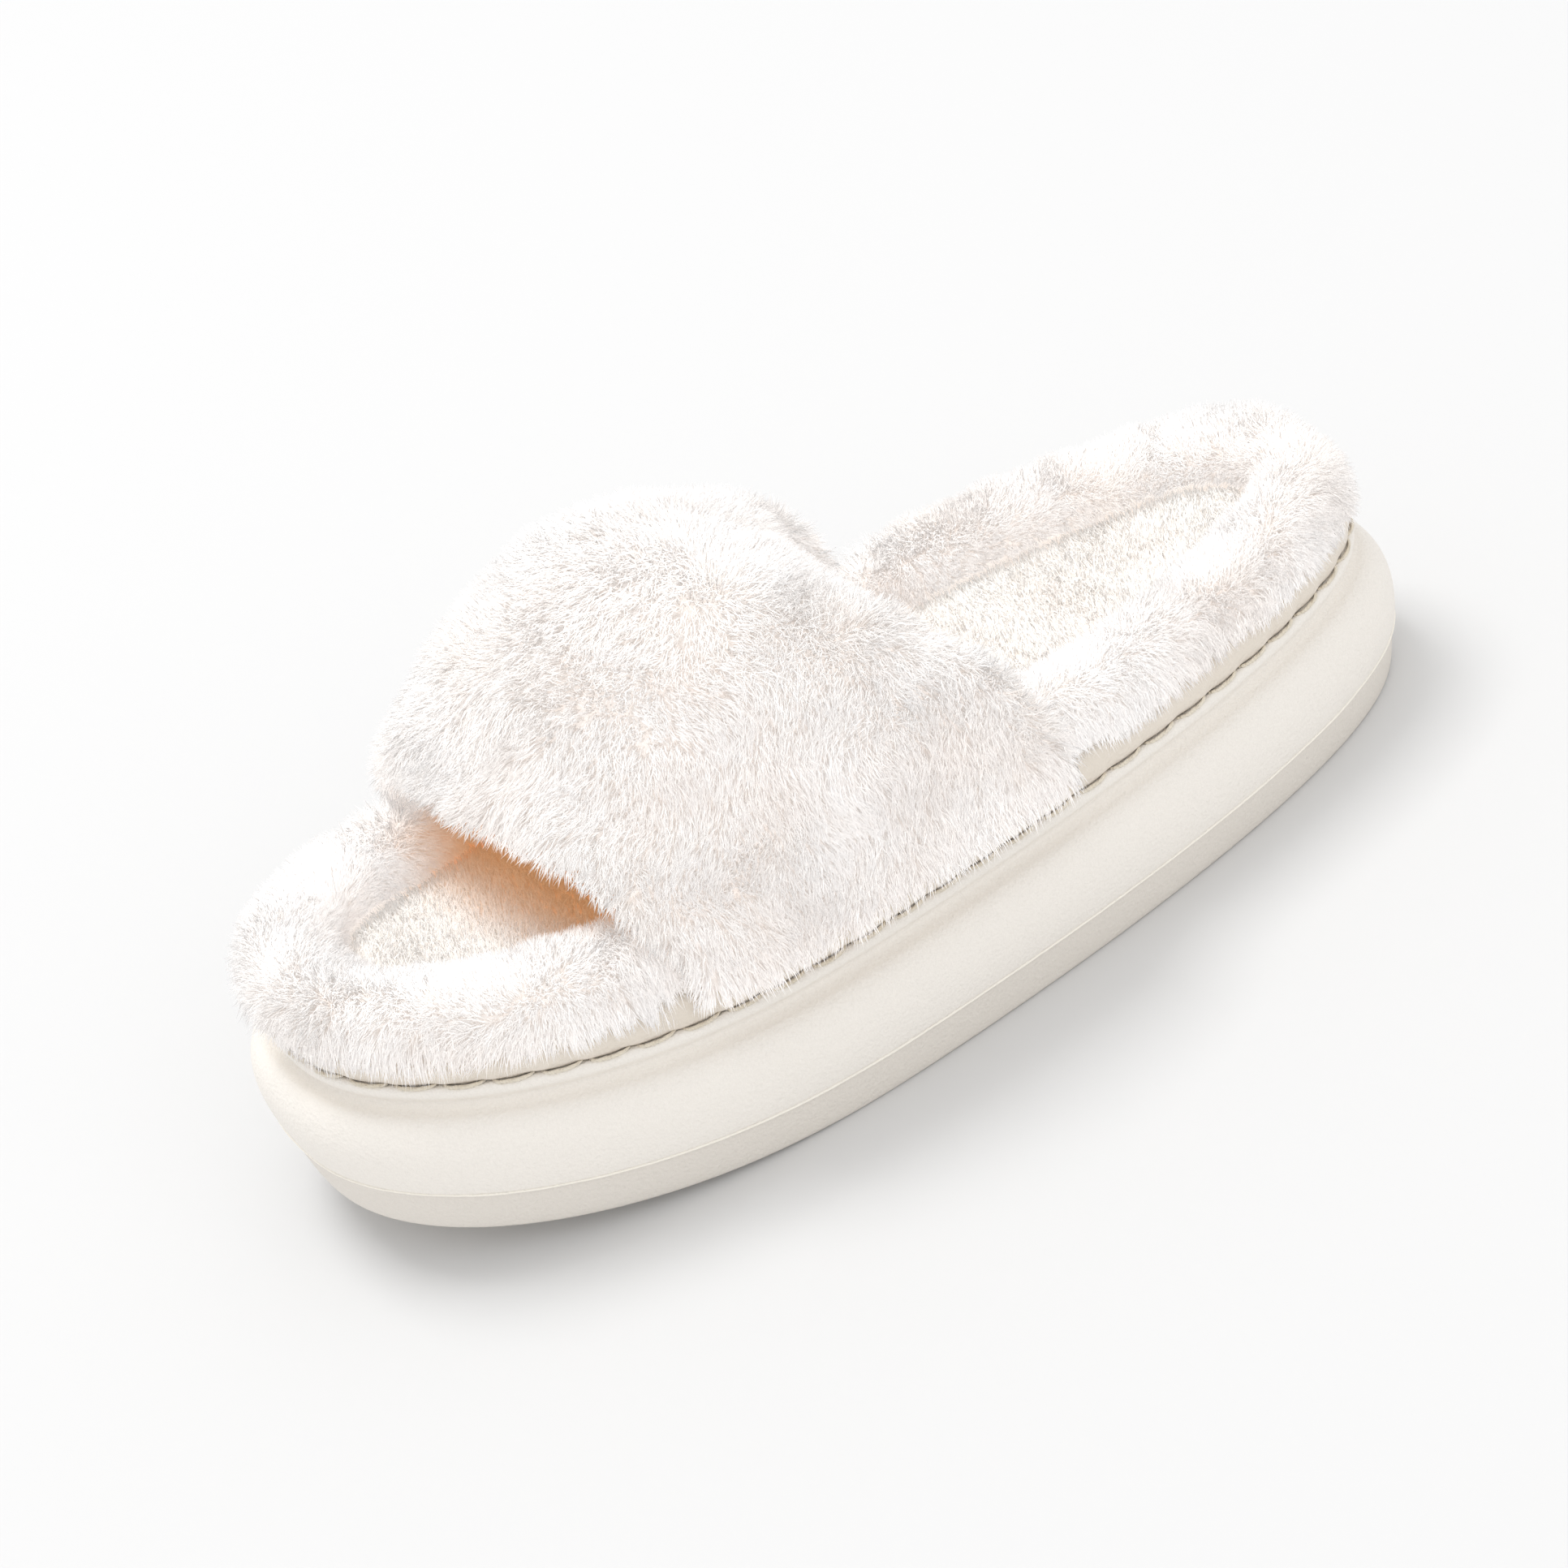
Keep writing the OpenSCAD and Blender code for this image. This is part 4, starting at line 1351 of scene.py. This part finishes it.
@dataclass
class FurStrap:
    """The wide padded strap: outer pelt with long fur and a lining on the foot's side."""

    last: Last
    stack: Stack
    front_reach: float = 10 * MM
    rear_cut: float = 24 * MM
    front_rise: float = 36 * MM
    rear_rise: float = 46.5 * MM
    crown: float = 25 * MM
    boxiness: float = 2.3
    side_press: float = 0.62
    foam_face: float = 5.05 * MM
    lining_face: float = 8.05 * MM
    lining_back: float = 9.6 * MM
    edge_back: float = 7.9 * MM
    edge_share: float = 0.045
    edge_round: float = 0.04
    edge_steps: int = 9
    puff: float = 3.5 * MM
    pelt_depth: float = 2.6 * MM
    columns: int = 150
    fibre_count: int = 96000
    lining_count: int = 20000
    pile: Pile = Pile(length=6.0 * MM, width=0.30 * MM, spread=0.24, tuft=2.4 * MM, gather=0.42, arch=0.16,
                      soft_normal=0.88, seed=81)
    lining_pile: Pile = Pile(length=4.2 * MM, width=0.36 * MM, spread=0.3, tuft=3 * MM, gather=0.5, arch=0.1,
                             soft_normal=0.85, seed=91)

    def grid(self, profile: np.ndarray) -> np.ndarray:
        """Gives points of the strap.

        Args:
            profile: Rows of share along from front to rear, depth, and share of the puff.

        Returns:
            A row of points from the outer to the inner side for each row of the profile.
        """
        s = self.stack
        across = np.linspace(0, math.pi, self.columns)[None]
        along, depth, puff = (profile[:, i:i + 1] for i in range(3))
        arch = np.sin(across) ** 2
        lead = s.strap_lead * (1 - np.cos(across)) / 2
        front = s.strap_front_y - lead - self.front_reach * arch
        y = mix(front, s.strap_rear_y - self.rear_cut * arch, along)
        inset = s.strap_inset + depth * self.side_press
        lateral, medial = self.last.side_x(y, inset, LATERAL), self.last.side_x(y, inset, MEDIAL)
        reach = np.sign(np.cos(across)) * np.abs(np.cos(across)) ** (2 / self.boxiness)
        crown = 4 * along * (1 - along)
        rise = mix(self.front_rise, self.rear_rise, along) + self.crown * crown - depth
        rise = rise + self.puff * puff * crown * arch
        height = rise * np.abs(np.sin(across)) ** (2 / self.boxiness)
        x = (lateral + medial) / 2 + reach * (lateral - medial) / 2
        return np.stack([x, y, s.upper_base + height + self.last.lift(y)], axis=-1)

    def edge(self, at: float, way: float, low: float, high: float) -> np.ndarray:
        """Gives a rounded edge of a layer as rows of a profile.

        Args:
            at: Share along at which the rounding starts.
            way: How far it reaches from there, below 0 at the front.
            low: Depth of its outer side.
            high: Depth of its inner side.

        Returns:
            The rows, from the outer side to the inner one.
        """
        turn = np.linspace(0, math.pi, self.edge_steps)
        depth = (low + high) / 2 - (high - low) / 2 * np.cos(turn)
        puff = np.clip(np.cos(turn), 0, 1)
        return np.stack([at + way * np.sin(turn), depth, puff], axis=-1)

    def layer(self, name: str, outer: np.ndarray, inner: np.ndarray, finish: Finish) -> bpy.types.Object:
        """Builds one layer as a closed piece.

        Args:
            name: Name of the piece.
            outer: Points of its outer face, rows from front to rear, edges included.
            inner: Points of its inner face, rows from rear to front.
            finish: Its finish.

        Returns:
            The piece.
        """
        points = np.concatenate([outer, inner])
        rows, columns = points.shape[:2]
        body = ring_faces(rows, columns, closed_rows=True, closed_columns=False)
        ends = [np.arange(rows)[None] * columns, np.arange(rows)[None, ::-1] * columns + columns - 1]
        piece = add_mesh(name, points, [body[:, ::-1], np.concatenate(ends)], finish)
        put_pelt(piece, 0.5, 0.0)
        return piece

    def build_pelt(self) -> bpy.types.Object:
        """Builds the outer pelt, rolled over both edges, and its long fur.

        Returns:
            The pelt.
        """
        low, high = self.pelt_depth, self.edge_back
        flat = np.linspace(self.edge_share, 1 - self.edge_share, 44)
        face = np.stack([flat, np.full_like(flat, low), np.ones_like(flat)], axis=-1)
        front = self.edge(self.edge_share, -self.edge_round, low, high)[::-1]
        rear = self.edge(1 - self.edge_share, self.edge_round, low, high)
        outer = self.grid(np.concatenate([front[:-1], face, rear[1:]]))
        skin = Skin.over(outer, closed=False, flip=True)
        lumps = wander(outer, 60 * MM, 17) * 0.9 * MM + wander(outer, 20 * MM, 18) * 0.3 * MM
        outer = outer + skin.outward * lumps[..., None]
        back = np.stack([flat[::-1], np.full_like(flat, self.foam_face), np.zeros_like(flat)], axis=-1)
        pelt = self.layer("strap_pelt", outer, self.grid(back), Finishes.fur)
        hand_over(pelt, Slot.STRAP, "strap_fur")
        self.grow_fur(Skin.over(outer, closed=False, flip=True))
        return pelt

    def grow_fur(self, skin: Skin) -> None:
        """Grows the strap's long fur, combed down its sides and over its edges.

        Args:
            skin: The outer face of the pelt.
        """
        rng = np.random.default_rng(101)
        roots, outward, row = skin.scatter(self.fibre_count, rng)
        drift = wander3(roots, 34 * MM, 103)
        foot = smooth((self.stack.upper_base + 9 * MM - roots[:, 2] + self.last.lift(roots[:, 1])) / (9 * MM))
        lean = drift * 0.4 + DOWN * (0.45 + 0.6 * foot)[:, None] + TO_TOE * 0.25
        inside = smooth((np.minimum(row, 1 - row) * -1 + 0.06) / 0.05)
        share = (1 + 0.12 * wander(roots, 22 * MM, 107)) * mix(1.0, 0.62, inside)
        self.pile.grow("strap_fibres", roots, outward, lean, share, Finishes.fur, Slot.STRAP, 0 * row)

    def build_lining(self) -> bpy.types.Object:
        """Builds the lining and its short pile on the foot's side.

        Returns:
            The lining.
        """
        flat = np.linspace(0.03, 0.97, 30)
        near = np.stack([flat, np.full_like(flat, self.lining_face), 0 * flat], axis=-1)
        far = np.stack([flat[::-1], np.full_like(flat, self.lining_back), 0 * flat], axis=-1)
        inner = self.grid(far)
        lining = self.layer("strap_lining_pelt", self.grid(near), inner, Finishes.lining)
        hand_over(lining, Slot.LINING, "strap_lining")
        rng = np.random.default_rng(111)
        roots, outward, _ = Skin.over(inner, closed=False, flip=True).scatter(self.lining_count, rng)
        lean = np.stack([0 * roots[:, 0], -0.4 + 0 * roots[:, 0], wander(roots, 20 * MM, 113) * 0.3], axis=-1)
        # Painted tan shade on the lining fibres, at half strength.
        self.lining_pile.grow("lining_fibres", roots, outward, lean, np.ones(len(roots)), Finishes.lining,
                              Slot.LINING, 0.5 * self.stack.shade(roots))
        return lining

    def build(self) -> None:
        """Builds the pelt and the lining."""
        self.build_pelt()
        self.build_lining()


@dataclass
class HiddenLayers:
    """The inner pieces that keep their CAD shape and get their own finishes."""

    nodes: dict[str, bpy.types.Object]
    finishes: dict[str, Finish] = field(default_factory=lambda: {
        "lasting_board": Finishes.board, "footbed_foam": Finishes.foam, "rim_foam": Finishes.foam,
        "strap_foam": Finishes.foam, "insole_seam_thread": Finishes.fine_thread,
        "strap_front_thread": Finishes.fine_thread, "strap_rear_thread": Finishes.fine_thread,
        "strap_margin_lateral": Finishes.backing, "strap_margin_medial": Finishes.backing})

    def dress(self) -> None:
        """Gives each inner piece its finish."""
        for name, finish in self.finishes.items():
            for place in self.nodes[name].material_slots:
                place.material = finish.material()
            LOG.info("%s: dressed with %s", name, finish.name)


@dataclass
class Studio:
    """The pale floor, the soft lights and the camera."""

    azimuth: float = 67.3
    elevation: float = 36.8
    roll: float = -17.0
    distance: float = 0.840
    aim_height: float = 30 * MM
    lens: float = 93.17
    shift: tuple[float, float] = (-0.0385, 0.0096)
    floor_size: float = 12.0
    floor_tone: int = 221
    sky: float = 0.92
    lights: tuple[tuple[str, tuple[float, float, float], float, float], ...] = (
        ("key_light", (-0.80, -0.35, 2.5), 1.0, 29.0), ("fill_light", (1.7, 0.2, 1.4), 1.6, 4.0))

    def frame(self) -> tuple[Vector, Vector, Vector, Vector]:
        """Works out how the camera stands.

        Returns:
            Its place, and its right, up and back directions.
        """
        az, el, roll = (math.radians(v) for v in (self.azimuth, self.elevation, self.roll))
        back = Vector((math.sin(az) * math.cos(el), -math.cos(az) * math.cos(el), math.sin(el)))
        right = (-back).cross(Vector((0, 0, 1))).normalized()
        up = right.cross(-back)
        turned = right * math.cos(roll) + up * math.sin(roll)
        risen = up * math.cos(roll) - right * math.sin(roll)
        return Vector((0, 0, self.aim_height)) + back * self.distance, turned, risen, back

    def add_camera(self) -> None:
        """Adds the camera."""
        place, right, up, back = self.frame()
        data = bpy.data.cameras.new("studio_camera")
        data.lens, data.sensor_width = self.lens, 36.0
        data.shift_x, data.shift_y = self.shift
        data.clip_end = 50.0
        camera = bpy.data.objects.new("studio_camera", data)
        camera.matrix_world = Matrix.Translation(place) @ Matrix((right, up, back)).transposed().to_4x4()
        bpy.context.scene.collection.objects.link(camera)
        bpy.context.scene.camera = camera

    def add_floor(self) -> None:
        """Adds the floor."""
        half = self.floor_size / 2
        corners = np.array([[-half, -half, 0], [half, -half, 0], [half, half, 0], [-half, half, 0]], float)
        white = linear(self.floor_tone, self.floor_tone, self.floor_tone)
        finish = Finish("studio_floor", white, white, roughness=0.9, relief=0.0, grain=5 * MM)
        floor = add_mesh("studio_floor", corners, [np.array([[0, 1, 2, 3]])], finish, smooth_shaded=False)
        floor.location.z = -0.2 * MM

    def add_light(self, name: str, place: tuple[float, float, float], size: float, power: float) -> None:
        """Adds a square soft light aimed at the slipper.

        Args:
            name: Name of the light.
            place: Where it hangs.
            size: Side of the square.
            power: Power in watts.
        """
        data = bpy.data.lights.new(name, "AREA")
        data.size, data.energy = size, power
        light = bpy.data.objects.new(name, data)
        light.location = place
        aim = Vector((0, 0, self.aim_height)) - Vector(place)
        light.rotation_euler = aim.to_track_quat("-Z", "Y").to_euler()
        bpy.context.scene.collection.objects.link(light)

    def build(self) -> None:
        """Builds the studio."""
        scene = bpy.context.scene
        scene.view_settings.view_transform = "Standard"
        world = bpy.data.worlds.new("studio_sky")
        world.use_nodes = True
        backdrop = world.node_tree.nodes["Background"]
        backdrop.inputs["Color"].default_value = (1.0, 1.0, 1.0, 1.0)
        backdrop.inputs["Strength"].default_value = self.sky
        scene.world = world
        self.add_floor()
        for name, place, size, power in self.lights:
            self.add_light(name, place, size, power)
        self.add_camera()


def main(frame: dict) -> None:
    """Builds the slipper round the CAD frame, then the studio.
    """
    logging.basicConfig(level=logging.INFO, format="%(name)s %(message)s")
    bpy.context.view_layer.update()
    sole_low, sole_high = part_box("eva_sole")
    last = Last(length=sole_high.y - sole_low.y)
    stack = Stack()
    MouldedSole(last, stack).build()
    SeamedRand(last, stack).build()
    PlushInsole(last, stack).build()
    FurRim(last, stack).build()
    FurStrap(last, stack).build()
    HiddenLayers(frame["nodes"]).dress()
    Studio().build()


if __name__ == "__main__":
    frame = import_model()
    main(frame)
